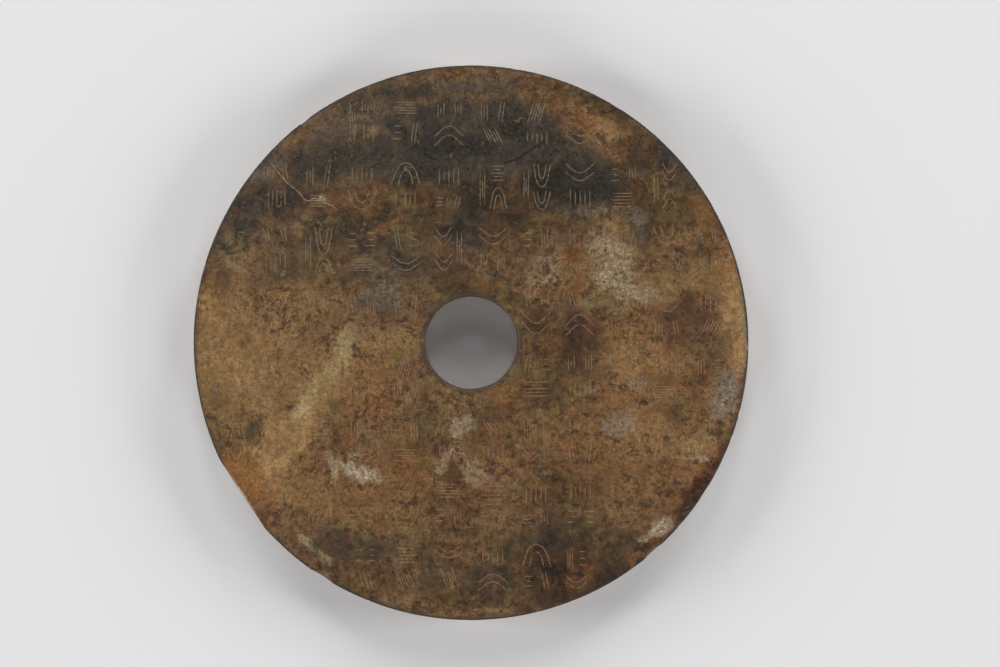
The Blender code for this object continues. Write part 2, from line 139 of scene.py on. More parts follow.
PATCHES = {
    Tint.CLOUD: (
        Patch("along the top", 468, 134, 104, 34, 2, 1.0),
        Patch("top, right end", 552, 148, 52, 18, -14, 0.7),
        Patch("through the second line", 430, 162, 115, 24, 0, 0.9),
        Patch("upper left rim", 300, 172, 50, 24, 36, 0.6),
        Patch("left shoulder", 238, 218, 44, 24, 62, 0.6),
        Patch("bottle-green stain", 578, 181, 52, 24, -4, 1.0),
        Patch("upper right rim", 682, 168, 40, 15, -48, 0.75),
        Patch("behind the great chalk patch", 644, 236, 24, 12, 75, 0.45),
        Patch("over the hole", 468, 232, 26, 26, 0, 0.6),
        Patch("left of the hole's top", 388, 262, 36, 26, -30, 0.5),
        Patch("bottom left", 352, 546, 52, 16, -6, 0.6),
        Patch("bottom left, below", 425, 574, 36, 22, 10, 0.4),
        Patch("bottom", 490, 578, 25, 22, 0, 0.55),
        Patch("bottom, over it", 514, 546, 16, 14, 0, 0.35),
        Patch("bottom, right of it", 552, 562, 26, 34, 10, 0.45),
        Patch("lower right field", 562, 528, 50, 18, 5, 0.35),
        Patch("lower right rim", 622, 556, 32, 16, 35, 0.5),
        Patch("left edge stain", 254, 432, 13, 13, 0, 0.5),
        Patch("left edge stain, low", 224, 448, 10, 18, 0, 0.3),
        Patch("upper left edge", 272, 140, 50, 12, 44, 0.55),
        Patch("left, third line", 268, 262, 66, 32, 0, 0.36, 0.8),
        Patch("top rim, left", 392, 90, 62, 14, 16, 0.55),
        Patch("top rim, middle", 450, 88, 70, 8, 4, 0.35),
        Patch("upper left field", 318, 214, 70, 34, -8, 0.45),
        Patch("over the hole, wide", 488, 190, 44, 30, 0, 0.45, 0.6),
        Patch("left of the hole, wide", 408, 250, 66, 50, 0, 0.38, 0.7),
    ),
    Tint.SLATE: (
        Patch("under the second line", 562, 208, 30, 9, -14, 0.75),
        Patch("left of the hole", 382, 304, 30, 14, -8, 0.65),
        Patch("second line, left", 383, 186, 14, 12, 0, 0.4),
        Patch("at the hole, upper left", 423, 299, 12, 13, 0, 0.5),
        Patch("left, under the third line", 314, 286, 14, 12, 0, 0.35),
        Patch("right rim, upper", 719, 236, 10, 16, 20, 0.4),
        Patch("upper right", 643, 166, 18, 12, -40, 0.5),
        Patch("top rim", 477, 87, 48, 13, 0, 0.65),
        Patch("upper left rim, low", 267, 165, 26, 14, 45, 0.9),
        Patch("upper left rim", 350, 122, 56, 16, 18, 0.75),
        Patch("in the chalk's shadow", 641, 228, 8, 16, 10, 0.7),
    ),
    Tint.UMBER: (
        Patch("right of the hole", 582, 342, 22, 30, 0, 0.55),
        Patch("close to the hole", 538, 314, 17, 13, 0, 0.45),
        Patch("right field", 690, 322, 34, 32, 0, 0.5),
        Patch("right field, low", 698, 384, 12, 24, 0, 0.5),
        Patch("right rim", 700, 488, 36, 14, 58, 1.0),
        Patch("right rim, above", 722, 455, 26, 8, 68, 0.7),
        Patch("right rim, below", 664, 534, 32, 12, 46, 0.7),
        Patch("right rim, foot", 612, 576, 42, 12, 30, 0.7),
        Patch("bottom, right of the middle", 556, 570, 30, 36, 10, 0.75),
        Patch("above the hole", 508, 208, 30, 20, 0, 0.45),
        Patch("over the hole, left", 440, 252, 22, 18, 0, 0.4),
        Patch("left upper field", 320, 200, 30, 12, -10, 0.3),
    ),
    Tint.HONEY: (
        Patch("left field", 226, 350, 34, 70, 0, 0.65),
        Patch("left honey", 276, 446, 46, 24, 36, 1.0),
        Patch("lower left rim", 268, 486, 28, 18, -42, 0.4),
        Patch("right rim band", 738, 308, 18, 66, 0, 1.0),
        Patch("right shoulder", 706, 274, 22, 20, 0, 0.6),
        Patch("upper right", 609, 129, 22, 12, -35, 0.6),
        Patch("upper right, below", 604, 150, 32, 12, -28, 0.35),
        Patch("top rim", 520, 84, 48, 10, -6, 0.3),
        Patch("in the top cloud", 382, 132, 17, 8, -10, 0.8),
        Patch("right of the hole", 572, 268, 26, 16, 0, 0.35),
        Patch("right middle", 640, 356, 60, 25, -5, 0.5),
        Patch("lower right middle", 645, 440, 50, 26, 0, 0.45),
        Patch("below the streak", 370, 408, 44, 20, 0, 0.25),
        Patch("left, third line", 248, 262, 34, 24, 0, 0.35),
        Patch("left of the hole", 390, 338, 32, 13, 0, 0.5),
        Patch("left rim, third line", 233, 249, 18, 22, 0, 0.65),
        Patch("left, over the stain", 262, 407, 17, 13, 0, 0.6),
        Patch("under the top cloud", 345, 230, 50, 15, 0, 0.25),
        Patch("upper left rim", 322, 130, 34, 12, 34, 0.3),
        Patch("under the hole", 440, 402, 34, 18, 0, 0.35),
        Patch("left middle", 300, 300, 34, 20, 0, 0.4),
        Patch("upper left rim, low", 291, 140, 14, 8, 45, 0.5),
        Patch("third line, second sign", 362, 257, 14, 12, 0, 0.55),
        Patch("top rim, left", 420, 78, 26, 9, -20, 0.45),
        Patch("third line, left", 251, 226, 15, 13, 0, 0.4),
        Patch("left rim, middle", 204, 312, 10, 26, 0, 0.45),
        Patch("left field, top", 277, 330, 22, 14, 0, 0.4),
        Patch("top rim, left, again", 420, 78, 36, 6, 8, 0.35),
        Patch("left, over it", 314, 227, 24, 14, 0, 0.62),
        Patch("left of the streak", 285, 368, 44, 34, 0, 0.5),
        Patch("right of the streak", 362, 372, 34, 26, 0, 0.4),
        Patch("lower left", 305, 490, 50, 24, -20, 0.4),
        Patch("right, lower field", 640, 400, 40, 34, 0, 0.4),
        Patch("right, upper field", 655, 290, 30, 20, 0, 0.45),
        Patch("right rim, low", 702, 448, 26, 16, 20, 0.55),
        Patch("beside the streak", 318, 402, 40, 18, 50, 0.7),
    ),
    Tint.AMBER: (
        Patch("beside the great chalk patch", 574, 262, 13, 28, 8, 0.8),
        Patch("over the hole, right", 556, 292, 24, 10, 0, 0.5),
        Patch("lower left rim", 246, 474, 34, 16, -48, 0.85),
        Patch("right field", 645, 352, 70, 48, 0, 0.4, 0.8),
        Patch("lower field, right", 615, 460, 80, 60, 0, 0.42, 0.8),
        Patch("lower field, middle", 460, 470, 80, 60, 0, 0.34, 0.8),
        Patch("lower field, left", 345, 480, 80, 52, 0, 0.36, 0.8),
        Patch("left of the honey", 262, 436, 18, 10, 30, 0.4),
        Patch("right of the streak", 372, 384, 34, 22, 30, 0.55),
        Patch("at the streak", 318, 368, 16, 16, 0, 0.45),
        Patch("under the second line", 350, 206, 48, 12, -4, 0.6),
        Patch("upper right", 566, 118, 30, 18, 0, 0.45),
        Patch("top rim", 545, 86, 40, 8, -18, 0.3),
        Patch("left rim", 214, 300, 10, 30, 0, 0.4),
        Patch("right rim", 722, 258, 14, 26, 20, 0.5),
        Patch("right shoulder", 704, 214, 20, 30, 30, 0.5),
        Patch("left of the right frost", 704, 374, 12, 14, 0, 0.45),
        Patch("left, over the chalk", 305, 463, 15, 12, 0, 0.4),
        Patch("lower right field", 681, 470, 14, 12, 0, 0.45),
        Patch("second line, middle", 492, 191, 17, 13, 0, 0.75),
        Patch("under the hole", 503, 394, 18, 12, 0, 0.6),
        Patch("over the hole, left", 400, 263, 16, 14, 0, 0.9),
        Patch("below the streak", 383, 407, 18, 12, 0, 0.5),
        Patch("right rim, middle", 742, 380, 8, 12, 0, 0.5),
        Patch("in the top cloud", 562, 146, 40, 17, 38, 1.0),
        Patch("right of the streak, head", 359, 355, 14, 12, 0, 0.45),
        Patch("in the top cloud, end", 545, 131, 13, 11, 0, 0.7),
        Patch("bottom, right", 566, 578, 26, 18, 20, 0.75),
        Patch("lower right rim, above", 688, 502, 30, 13, 57, 0.75),
        Patch("lower right rim", 646, 552, 24, 12, 42, 0.8),
        Patch("left, under the second line", 368, 228, 24, 18, 0, 0.85),
        Patch("right field, low", 702, 396, 11, 26, 0, 0.6),
        Patch("right rim, at the umber", 706, 472, 20, 12, 60, 1.0),
        Patch("at the hole's top", 482, 285, 30, 8, 0, 0.5),
    ),
    Tint.CHALK: (
        Patch("great patch", 614, 262, 34, 20, -62, 0.85, 0.6),
        Patch("great patch, wing", 606, 238, 16, 13, -40, 0.55),
        Patch("great patch, crown", 606, 210, 24, 8, -8, 0.4),
        Patch("great patch, foot", 640, 290, 20, 10, -10, 0.7),
        Patch("great patch, lower left", 604, 277, 15, 10, 0, 0.6),
        Patch("lower left arc", 359, 471, 29, 7, -26, 1.0),
        Patch("lower left arc, head", 335, 469, 6, 16, 14, 0.85),
        Patch("lower left arc, top", 357, 455, 9, 4, 0, 0.7),
        Patch("below the hole", 463, 426, 15, 9, 15, 0.9),
        Patch("below the hole, left", 437, 464, 8, 18, -14, 0.6),
        Patch("below the hole, right", 474, 476, 11, 16, 0, 0.65),
        Patch("below the hole, middle", 454, 450, 13, 8, 0, 0.75),
        Patch("lower left rim", 306, 541, 10, 6, -45, 0.85),
        Patch("lower left rim, below", 324, 559, 14, 6, -38, 0.75),
        Patch("lower right rim", 661, 529, 18, 8, 38, 1.0),
        Patch("lower right rim, speck", 645, 541, 5, 4, 0, 0.75),
        Patch("lower speck", 546, 475, 4, 3, 0, 0.9),
        Patch("right speck", 701, 456, 9, 5, 10, 0.8),
        Patch("right rim grains", 732, 404, 10, 16, 20, 0.5, 0.7),
        Patch("right rim band", 742, 329, 6, 18, 0, 0.8),
        Patch("right rim band, low", 742, 372, 5, 11, 0, 0.6),
        Patch("upper right speck", 715, 212, 4, 3, 0, 0.7),
        Patch("flecks over the hole", 548, 272, 28, 17, 0, 0.5),
        Patch("flecks beside the great patch", 574, 244, 24, 12, 0, 0.3),
        Patch("flecks under the great patch", 604, 302, 40, 10, 5, 0.35),
        Patch("flecks at the hole", 488, 272, 12, 8, 0, 0.4),
        Patch("flecks left of the hole", 386, 276, 26, 14, -40, 0.4),
        Patch("chip in the crack", 324, 202, 6, 2.6, -28, 1.0, 0.3),
        Patch("in the streak, head", 346, 344, 10, 5, 70, 0.45),
        Patch("in the streak, foot", 304, 408, 9, 5, 55, 0.8),
    ),
    Tint.FROST: (
        Patch("right rim", 730, 389, 17, 22, 10, 0.85, 0.7),
        Patch("right rim, low", 722, 412, 13, 13, 30, 0.7, 0.7),
        Patch("lower right", 618, 425, 21, 11, 10, 0.75),
        Patch("right middle", 640, 381, 12, 9, 0, 0.6),
        Patch("over the great chalk patch", 598, 209, 34, 5, 0, 0.55),
        Patch("right of the great chalk patch", 636, 215, 12, 9, -30, 0.8),
        Patch("under the second line", 558, 213, 14, 5, 0, 0.4),
        Patch("left of the hole", 384, 298, 24, 9, -10, 0.45),
        Patch("below the hole", 430, 481, 9, 5, 0, 0.6),
    ),
    Tint.MOSS: (
        Patch("streak, head", 346, 348, 20, 10, 60, 0.75),
        Patch("streak, middle", 328, 376, 22, 10, 50, 0.7),
        Patch("streak, foot", 306, 405, 17, 7, 48, 0.95),
        Patch("streak, glow", 322, 380, 62, 26, 54, 0.3, 0.7),
    ),
    Tint.SHADE: (
        Patch("over the hole, wide", 492, 210, 128, 38, -4, 0.6),
        Patch("upper left", 305, 206, 62, 24, -10, 0.28),
        Patch("upper right", 645, 188, 52, 38, -30, 0.62),
        Patch("left, third line", 334, 258, 30, 28, 0, 0.3),
        Patch("at the hole's top", 470, 282, 44, 20, 0, 0.55),
        Patch("behind the great chalk patch", 660, 250, 16, 34, 0, 0.2),
        Patch("right of the hole", 550, 350, 46, 48, 0, 0.5),
        Patch("under the hole", 500, 424, 56, 26, 0, 0.35),
        Patch("lower middle", 452, 505, 32, 30, 0, 0.45),
        Patch("lower right of the middle", 552, 498, 50, 26, 0, 0.4),
        Patch("bottom, right", 580, 565, 66, 44, 15, 0.6),
        Patch("bottom", 460, 560, 70, 34, 0, 0.4),
        Patch("bottom, left", 350, 566, 54, 28, -20, 0.5),
        Patch("top rim", 400, 90, 60, 16, 15, 0.1),
        Patch("left rim", 222, 296, 12, 26, 0, 0.3),
        Patch("top right edge", 606, 108, 30, 13, -35, 0.75),
        Patch("bottom edge", 474, 600, 40, 12, 0, 0.65),
        Patch("beside the great patch", 579, 251, 12, 14, 0, 0.4),
        Patch("right, at the third line", 699, 265, 14, 13, 0, 0.4),
        Patch("lower field, right", 568, 493, 34, 12, 0, 0.4),
        Patch("right of the streak, low", 314, 430, 13, 12, 0, 0.35),
        Patch("left of the great patch", 571, 282, 10, 28, 0, 0.35),
        Patch("lower field, left", 404, 450, 14, 12, 0, 0.35),
        Patch("right middle", 667, 376, 14, 12, 0, 0.4),
        Patch("right shoulder, below", 706, 248, 16, 15, 0, 0.4),
        Patch("third line, middle", 500, 257, 16, 12, 0, 0.35),
        Patch("right of the hole, far", 608, 351, 14, 14, 0, 0.35),
        Patch("lower field, middle", 548, 468, 42, 14, -25, 0.4),
        Patch("below the hole, right", 547, 395, 26, 12, 0, 0.45),
        Patch("right shoulder", 680, 219, 15, 13, 0, 0.35),
        Patch("below the streak", 330, 411, 13, 13, 0, 0.35),
        Patch("top edge", 550, 90, 36, 9, -16, 0.6),
        Patch("right, beside the rim band", 712, 362, 12, 16, 0, 0.35),
        Patch("at the hole, upper right", 513, 298, 20, 9, -30, 0.62),
        Patch("bottom, middle", 517, 549, 17, 14, 0, 0.4),
        Patch("right, lower field", 675, 415, 14, 14, 0, 0.6),
        Patch("under the hole, left", 429, 426, 19, 38, 0, 0.55),
        Patch("bottom edge, right", 538, 602, 26, 10, 10, 0.55),
        Patch("over the hole, right", 524, 264, 20, 14, 0, 0.4),
        Patch("upper right, beside the honey", 640, 146, 20, 16, -45, 0.5),
        Patch("top cloud", 468, 138, 80, 22, 0, 0.4),
        Patch("in the chalk below the hole", 450, 472, 11, 15, 0, 0.6),
        Patch("bottle-green stain", 560, 182, 42, 22, 0, 0.7),
    ),
    Tint.DUST: (
        Patch("upper lines", 420, 140, 280, 80, 0, 1.0, 0.3),
        Patch("third line, left", 310, 250, 170, 45, 0, 0.9, 0.3),
        Patch("left of the hole", 390, 315, 60, 60, 0, 0.7),
        Patch("right of the hole", 560, 320, 55, 70, 0, 0.55),
        Patch("right shoulder", 680, 225, 60, 60, 0, 0.55),
    ),
}
ORANGE_SPOT = Patch("in the great chalk patch", 613, 224, 11, 9, 0, 0.7, 0.5)

PALE_CRACK = (
    (265, 157.5), (271.5, 164), (277, 170.4), (281, 175.5), (287.4, 183), (298.3, 191.5),
    (304, 199), (308.5, 201.3), (313.6, 198.2), (323, 202), (332, 205.5), (341.5, 213),
)
DARK_CRACK = ((503, 163), (516.4, 159.7), (525.9, 153.1), (539, 144.7), (543.7, 140.9))


class Filling(Enum):
    """What fills a block of a sign; only the first three fit a narrow block."""

    LEVEL = 0
    UPRIGHT = 1
    SLANT = 2
    HOOPS = 3
    BENDS = 4


class Plan(Enum):
    """How a sign is divided into blocks."""

    HEAD_AND_FOOT = 0
    TALL_SIDE = 1
    WHOLE_HEAD = 2
    WHOLE_FOOT = 3


@dataclass
class SignGrid:
    """The inscription: rows and columns of made-up signs, the same strokes as in the solid."""

    column_pitch: float = 0.01725
    column_gap: float = 0.0058
    row_pitch: float = 0.0252
    row_gap: float = 0.0070
    drop: float = 0.0009
    rim_clearance: float = 0.0016
    hole_mouth: float = 0.01925
    hole_clearance: float = 0.0008
    least_share: float = 0.6
    flat_azimuth_deg: float = 213.5
    flat_depth: float = 0.0012
    wide_strokes: int = 3
    narrow_strokes: int = 2
    narrow_fillings: int = 3
    block_gap: float = 0.09
    split: float = 0.14
    side: float = 0.1
    wide_block: float = 0.55
    tall_block: float = 0.9
    level_trim: float = 0.22
    upright_trim: float = 0.2
    slant_lean: float = 0.3
    slant_inset: float = 0.2
    inner_hoop: float = 0.52
    hoop_base: float = 0.3
    hoop_rise: float = 0.7
    hoop_flat: float = 0.5
    bend_drop: float = 0.4
    finer_sizes: Pair = (0.45, 0.9)
    finer_seed: int = 5000
    least_gap: float = 0.00085
    gap_tests: int = 8
    worn_away: tuple[tuple[int, int], ...] = ((7, 2), (7, 11))

    def level_hatch(self, block: Block, count: int, chooser: random.Random) -> list[Stroke]:
        """Level strokes one above the other, of unlike lengths.

        Args:
            block: left, right, low and high sides.
            count: how many strokes.
            chooser: source of chance.

        Returns:
            The strokes.
        """
        left, right, low, high = block
        strokes = []
        for index in range(count):
            height = low + (high - low) * (index + 0.5) / count
            shrink = (right - left) * chooser.uniform(0.0, self.level_trim)
            start = left + shrink * chooser.random()
            strokes.append([(start, height), (start + right - left - shrink, height)])
        return strokes

    def upright_hatch(self, block: Block, count: int, chooser: random.Random) -> list[Stroke]:
        """Upright strokes side by side, with uneven ends.

        Args:
            block: left, right, low and high sides.
            count: how many strokes.
            chooser: source of chance.

        Returns:
            The strokes.
        """
        left, right, low, high = block
        strokes = []
        for index in range(count):
            across = left + (right - left) * (index + 0.5) / count
            foot = low + (high - low) * chooser.uniform(0.0, self.upright_trim)
            top = high - (high - low) * chooser.uniform(0.0, self.upright_trim)
            strokes.append([(across, foot), (across, top)])
        return strokes

    def slant_hatch(self, block: Block, count: int, chooser: random.Random) -> list[Stroke]:
        """Slanting strokes side by side.

        Args:
            block: left, right, low and high sides.
            count: how many strokes.
            chooser: source of chance.

        Returns:
            The strokes.
        """
        left, right, low, high = block
        lean = (right - left) * self.slant_lean * chooser.choice((-1.0, 1.0))
        strokes = []
        for index in range(count):
            share = (index + 0.5) / count
            across = left + (right - left) * (self.slant_inset + (1.0 - 2.0 * self.slant_inset) * share)
            strokes.append([(across - lean / 2.0, low), (across + lean / 2.0, high)])
        return strokes

    def nested_hoops(self, block: Block, chooser: random.Random) -> list[Stroke]:
        """Two bent strokes one inside the other, both open upwards or both downwards.

        Args:
            block: left, right, low and high sides.
            chooser: source of chance.

        Returns:
            The strokes.
        """
        left, right, low, high = block
        if chooser.random() < 0.5:
            low, high = high, low
        middle = (left + right) / 2.0
        strokes = []
        for size in (1.0, self.inner_hoop):
            reach = (right - left) / 2.0 * size
            crown = low + (high - low) * (self.hoop_base + self.hoop_rise * size)
            flat = reach * self.hoop_flat
            rising = [(middle - reach, low), (middle - flat, crown)]
            falling = [(middle + flat, crown), (middle + reach, low)]
            strokes.append(rising + falling)
        return strokes

    def nested_bends(self, block: Block, chooser: random.Random) -> list[Stroke]:
        """Two angled strokes one inside the other, both pointing up or both down.

        Args:
            block: left, right, low and high sides.
            chooser: source of chance.

        Returns:
            The strokes.
        """
        left, right, low, high = block
        if chooser.random() < 0.5:
            low, high = high, low
        middle = (left + right) / 2.0
        strokes = []
        for drop in (0.0, self.bend_drop):
            tip = high - (high - low) * drop
            foot = low + (high - low) * (self.bend_drop - drop)
            strokes.append([(left, foot), (middle, tip), (right, foot)])
        return strokes

    def block_strokes(self, block: Block, count: int, chooser: random.Random) -> list[Stroke]:
        """One block of a sign: uprights if it is tall, hatching if narrow, or else any kind.

        Args:
            block: left, right, low and high sides.
            count: how many strokes a hatching has.
            chooser: source of chance.

        Returns:
            The strokes.
        """
        left, right, low, high = block
        if high - low > self.tall_block:
            return self.upright_hatch(block, count, chooser)
        kinds = len(Filling) if right - left > self.wide_block else self.narrow_fillings
        filling = Filling(chooser.randrange(kinds))
        if filling is Filling.HOOPS:
            return self.nested_hoops(block, chooser)
        if filling is Filling.BENDS:
            return self.nested_bends(block, chooser)
        if filling is Filling.LEVEL:
            return self.level_hatch(block, count, chooser)
        if filling is Filling.UPRIGHT:
            return self.upright_hatch(block, count, chooser)
        return self.slant_hatch(block, count, chooser)

    def sign_blocks(self, chooser: random.Random) -> list[tuple[Block, int]]:
        """Divide a sign of one by one into blocks.

        Args:
            chooser: source of chance.

        Returns:
            Each block's sides and stroke count.
        """
        split_up = chooser.uniform(-self.split, self.split)
        foot = (-0.5, split_up - self.block_gap / 2.0)
        head = (split_up + self.block_gap / 2.0, 0.5)
        plan = Plan(chooser.randrange(len(Plan)))
        hand = chooser.choice((-1.0, 1.0))
        near = sorted((hand * 0.5, hand * (self.side + self.block_gap)))
        far = sorted((hand * self.side, hand * -0.5))
        halves = ((-0.5, -self.block_gap), (self.block_gap, 0.5))
        if plan is Plan.HEAD_AND_FOOT:
            return [((-0.5, 0.5, *head), self.wide_strokes), ((-0.5, 0.5, *foot), self.wide_strokes)]
        if plan is Plan.TALL_SIDE:
            blocks = [((*near, -0.5, 0.5), self.narrow_strokes)]
            blocks += [((*far, *head), self.wide_strokes), ((*far, *foot), self.narrow_strokes)]
            return blocks
        whole, shared = (head, foot) if plan is Plan.WHOLE_HEAD else (foot, head)
        blocks = [((-0.5, 0.5, *whole), self.wide_strokes)]
        blocks += [((*half, *shared), self.narrow_strokes) for half in halves]
        return blocks

    def finer_strokes(self, strokes: list[Stroke], chooser: random.Random) -> list[Stroke]:
        """Shorter strokes half way between the neighbours of a block.

        Args:
            strokes: the block's strokes, in order.
            chooser: source of chance.

        Returns:
            The strokes between them.
        """
        between = []
        for first, second in zip(strokes, strokes[1:]):
            middle = [((a[0] + b[0]) / 2.0, (a[1] + b[1]) / 2.0) for a, b in zip(first, second)]
            centre_x = sum(point[0] for point in middle) / len(middle)
            centre_y = sum(point[1] for point in middle) / len(middle)
            size = chooser.uniform(*self.finer_sizes)
            between.append([
                (centre_x + (x - centre_x) * size, centre_y + (y - centre_y) * size) for x, y in middle
            ])
        return between

    def well_apart(self, stroke: list[Vector], others: list[list[Vector]]) -> bool:
        """Whether a stroke keeps more than its own width from the other strokes of its sign.

        Args:
            stroke: points of the stroke.
            others: points of each stroke already kept.

        Returns:
            True where it is clear of them all.
        """
        for first, second in zip(stroke, stroke[1:]):
            for step in range(self.gap_tests + 1):
                point = first.lerp(second, step / self.gap_tests)
                for other in others:
                    for start, end in zip(other, other[1:]):
                        span = end - start
                        share = min(1.0, max(0.0, (point - start).dot(span) / span.length_squared))
                        if (start + span * share - point).length < self.least_gap:
                            return False
        return True

    def sign_strokes(self, seed: int) -> list[Stroke]:
        """The strokes of one sign in a box of one by one about its centre.

        Args:
            seed: number of the sign's cell.

        Returns:
            Its main strokes and the finer ones between them.
        """
        chooser = random.Random(seed)
        finer_chooser = random.Random(seed + self.finer_seed)
        strokes = []
        finer = []
        for block, count in self.sign_blocks(chooser):
            main = self.block_strokes(block, count, chooser)
            strokes += main
            finer += self.finer_strokes(main, finer_chooser)
        return strokes + finer

    def sign_span(self, across: float, up: float) -> tuple[float, float] | None:
        """Sides of the sign in a cell, narrowed at the rim.

        Args:
            across: the cell's middle along X.
            up: the cell's middle along Y.

        Returns:
            Left and right, or None where no sign fits.
        """
        half_width = (self.column_pitch - self.column_gap) / 2.0
        half_height = (self.row_pitch - self.row_gap) / 2.0
        nearest = math.hypot(max(abs(across) - half_width, 0.0), max(abs(up) - half_height, 0.0))
        if nearest < self.hole_mouth + self.hole_clearance:
            return None
        limit = OUTER_RADIUS - self.rim_clearance
        reach = math.sqrt(max(limit**2 - (abs(up) + half_height) ** 2, 0.0))
        left, right = max(across - half_width, -reach), min(across + half_width, reach)
        return (left, right) if right - left >= 2.0 * half_width * self.least_share else None

    def clear_of_flat(self, stroke: list[Vector]) -> bool:
        """Whether a stroke keeps its distance from the ground stretch of the rim.

        Args:
            stroke: points of the stroke.

        Returns:
            True where it is clear.
        """
        azimuth = math.radians(self.flat_azimuth_deg)
        outward = Vector((math.cos(azimuth), math.sin(azimuth)))
        limit = OUTER_RADIUS - self.flat_depth - self.rim_clearance
        return all(point.dot(outward) < limit for point in stroke)

    def strokes(self) -> list[list[Vector]]:
        """All strokes on the face, as points in the plane of the disc.

        Returns:
            The points of each stroke.
        """
        height = self.row_pitch - self.row_gap
        half_rows = int(OUTER_RADIUS / self.row_pitch)
        half_columns = int(OUTER_RADIUS / self.column_pitch)
        found = []
        for row in range(1, 2 * half_rows + 1):
            up = (half_rows - row + 0.5) * self.row_pitch - self.drop
            for column in range(1, 2 * half_columns + 1):
                across = (column - half_columns - 0.5) * self.column_pitch
                span = self.sign_span(across, up)
                if span is None or (row, column) in self.worn_away:
                    continue
                left, right = span
                sign = []
                for points in self.sign_strokes(100 * row + column):
                    middle = (left + right) / 2.0
                    stroke = [Vector((middle + x * (right - left), up + y * height)) for x, y in points]
                    if self.clear_of_flat(stroke) and self.well_apart(stroke, sign):
                        sign.append(stroke)
                found += sign
        return found


@dataclass
class PatchMap:
    """How strongly each tint shows at each point of the face."""

    wide_warp: float = 0.0024
    wide_scale: float = 62.0
    small_warp: float = 0.0018
    small_scale: float = 260.0

    def warped(self, places: np.ndarray) -> np.ndarray:
        """Push places about by soft noise, so that the patches' edges wander.

        Args:
            places: rows of x and y.

        Returns:
            The moved places.
        """
        moved = places.copy()
        for index, (x, y) in enumerate(places):
            wide = noise.turbulence_vector((x * self.wide_scale, y * self.wide_scale, 3.0), 3, False)
            small = noise.turbulence_vector((x * self.small_scale, y * self.small_scale, 8.0), 2, False)
            moved[index] += (
                wide.x * self.wide_warp + small.x * self.small_warp,
                wide.y * self.wide_warp + small.y * self.small_warp,
            )
        return moved

    def mask(self, patch: Patch, places: np.ndarray) -> np.ndarray:
        """Share of a patch at each place, from 0 outside it to its strength at its heart.

        Args:
            patch: the patch.
            places: rows of x and y.

        Returns:
            One value for each place.
        """
        centre = PHOTO.place(patch.x, patch.y)
        turn = math.radians(patch.turn)
        dx = places[:, 0] - centre.x
        dy = places[:, 1] - centre.y
        along = (dx * math.cos(turn) + dy * math.sin(turn)) / (patch.along * PHOTO.pixel)
        across = (dy * math.cos(turn) - dx * math.sin(turn)) / (patch.across * PHOTO.pixel)
        distance = np.hypot(along, across)
        share = np.clip((1.0 + patch.softness - distance) / (2.0 * patch.softness), 0.0, 1.0)
        return patch.strength * share * share * (3.0 - 2.0 * share)

    def fields(self, places: np.ndarray) -> dict[Tint, np.ndarray]:
        """Blend the patches of each tint.

        Args:
            places: rows of x and y.

        Returns:
            One value from 0 to 1 for each tint and place.
        """
        moved = self.warped(places)
        fields = {}
        for tint, patches in PATCHES.items():
            bare = np.ones(len(places))
            for patch in patches:
                bare *= 1.0 - self.mask(patch, moved)
            fields[tint] = 1.0 - bare
        spot = self.mask(ORANGE_SPOT, moved)
        fields[Tint.CHALK] *= 1.0 - spot
        fields[Tint.HONEY] = np.maximum(fields[Tint.HONEY], spot)
        return fields


@dataclass(frozen=True)
class FlatLayout:
    """Where each part of the disc's surface lies on a unit square, with nothing overlapping."""

    face_centre: Point = (0.37, 0.63)
    face_reach: float = 0.36
    back_centre: Point = (0.87, 0.13)
    back_reach: float = 0.115
    strip_left: float = 0.01
    strip_length: float = 0.72
    strip_height: float = 0.033
    strip_pitch: float = 0.042
    rim_bottom: float = 0.06
    rim_strips: int = 3
    hole_bottom: float = 0.01
    hole_strips: int = 1
    level_share: float = 0.6
    wall_radius: float = 0.05

    def spot(self, place: Vector, centre: Vector, normal: Vector) -> Point:
        """Find where a face's corner lies.

        Args:
            place: the corner.
            centre: middle of its face.
            normal: the face's normal.

        Returns:
            The corner's place on the square.
        """
        if abs(normal.z) > self.level_share:
            middle, reach = (self.back_centre, self.back_reach)
            if normal.z > 0.0:
                middle, reach = (self.face_centre, self.face_reach)
            across, up = place.x / OUTER_RADIUS * reach, place.y / OUTER_RADIUS * reach
            return (middle[0] + across, middle[1] + up)
        on_rim = centre.to_2d().length > self.wall_radius
        bottom, count = (self.hole_bottom, self.hole_strips)
        if on_rim:
            bottom, count = (self.rim_bottom, self.rim_strips)
        around = math.atan2(centre.y, centre.x)
        apart = math.remainder(math.atan2(place.y, place.x) - around, math.tau)
        turn = around / math.tau + 0.5
        strip = min(int(turn * count), count - 1)
        along = (turn + apart / math.tau) * count - strip
        height = bottom + strip * self.strip_pitch + place.z / THICKNESS * self.strip_height
        return (self.strip_left + along * self.strip_length, height)


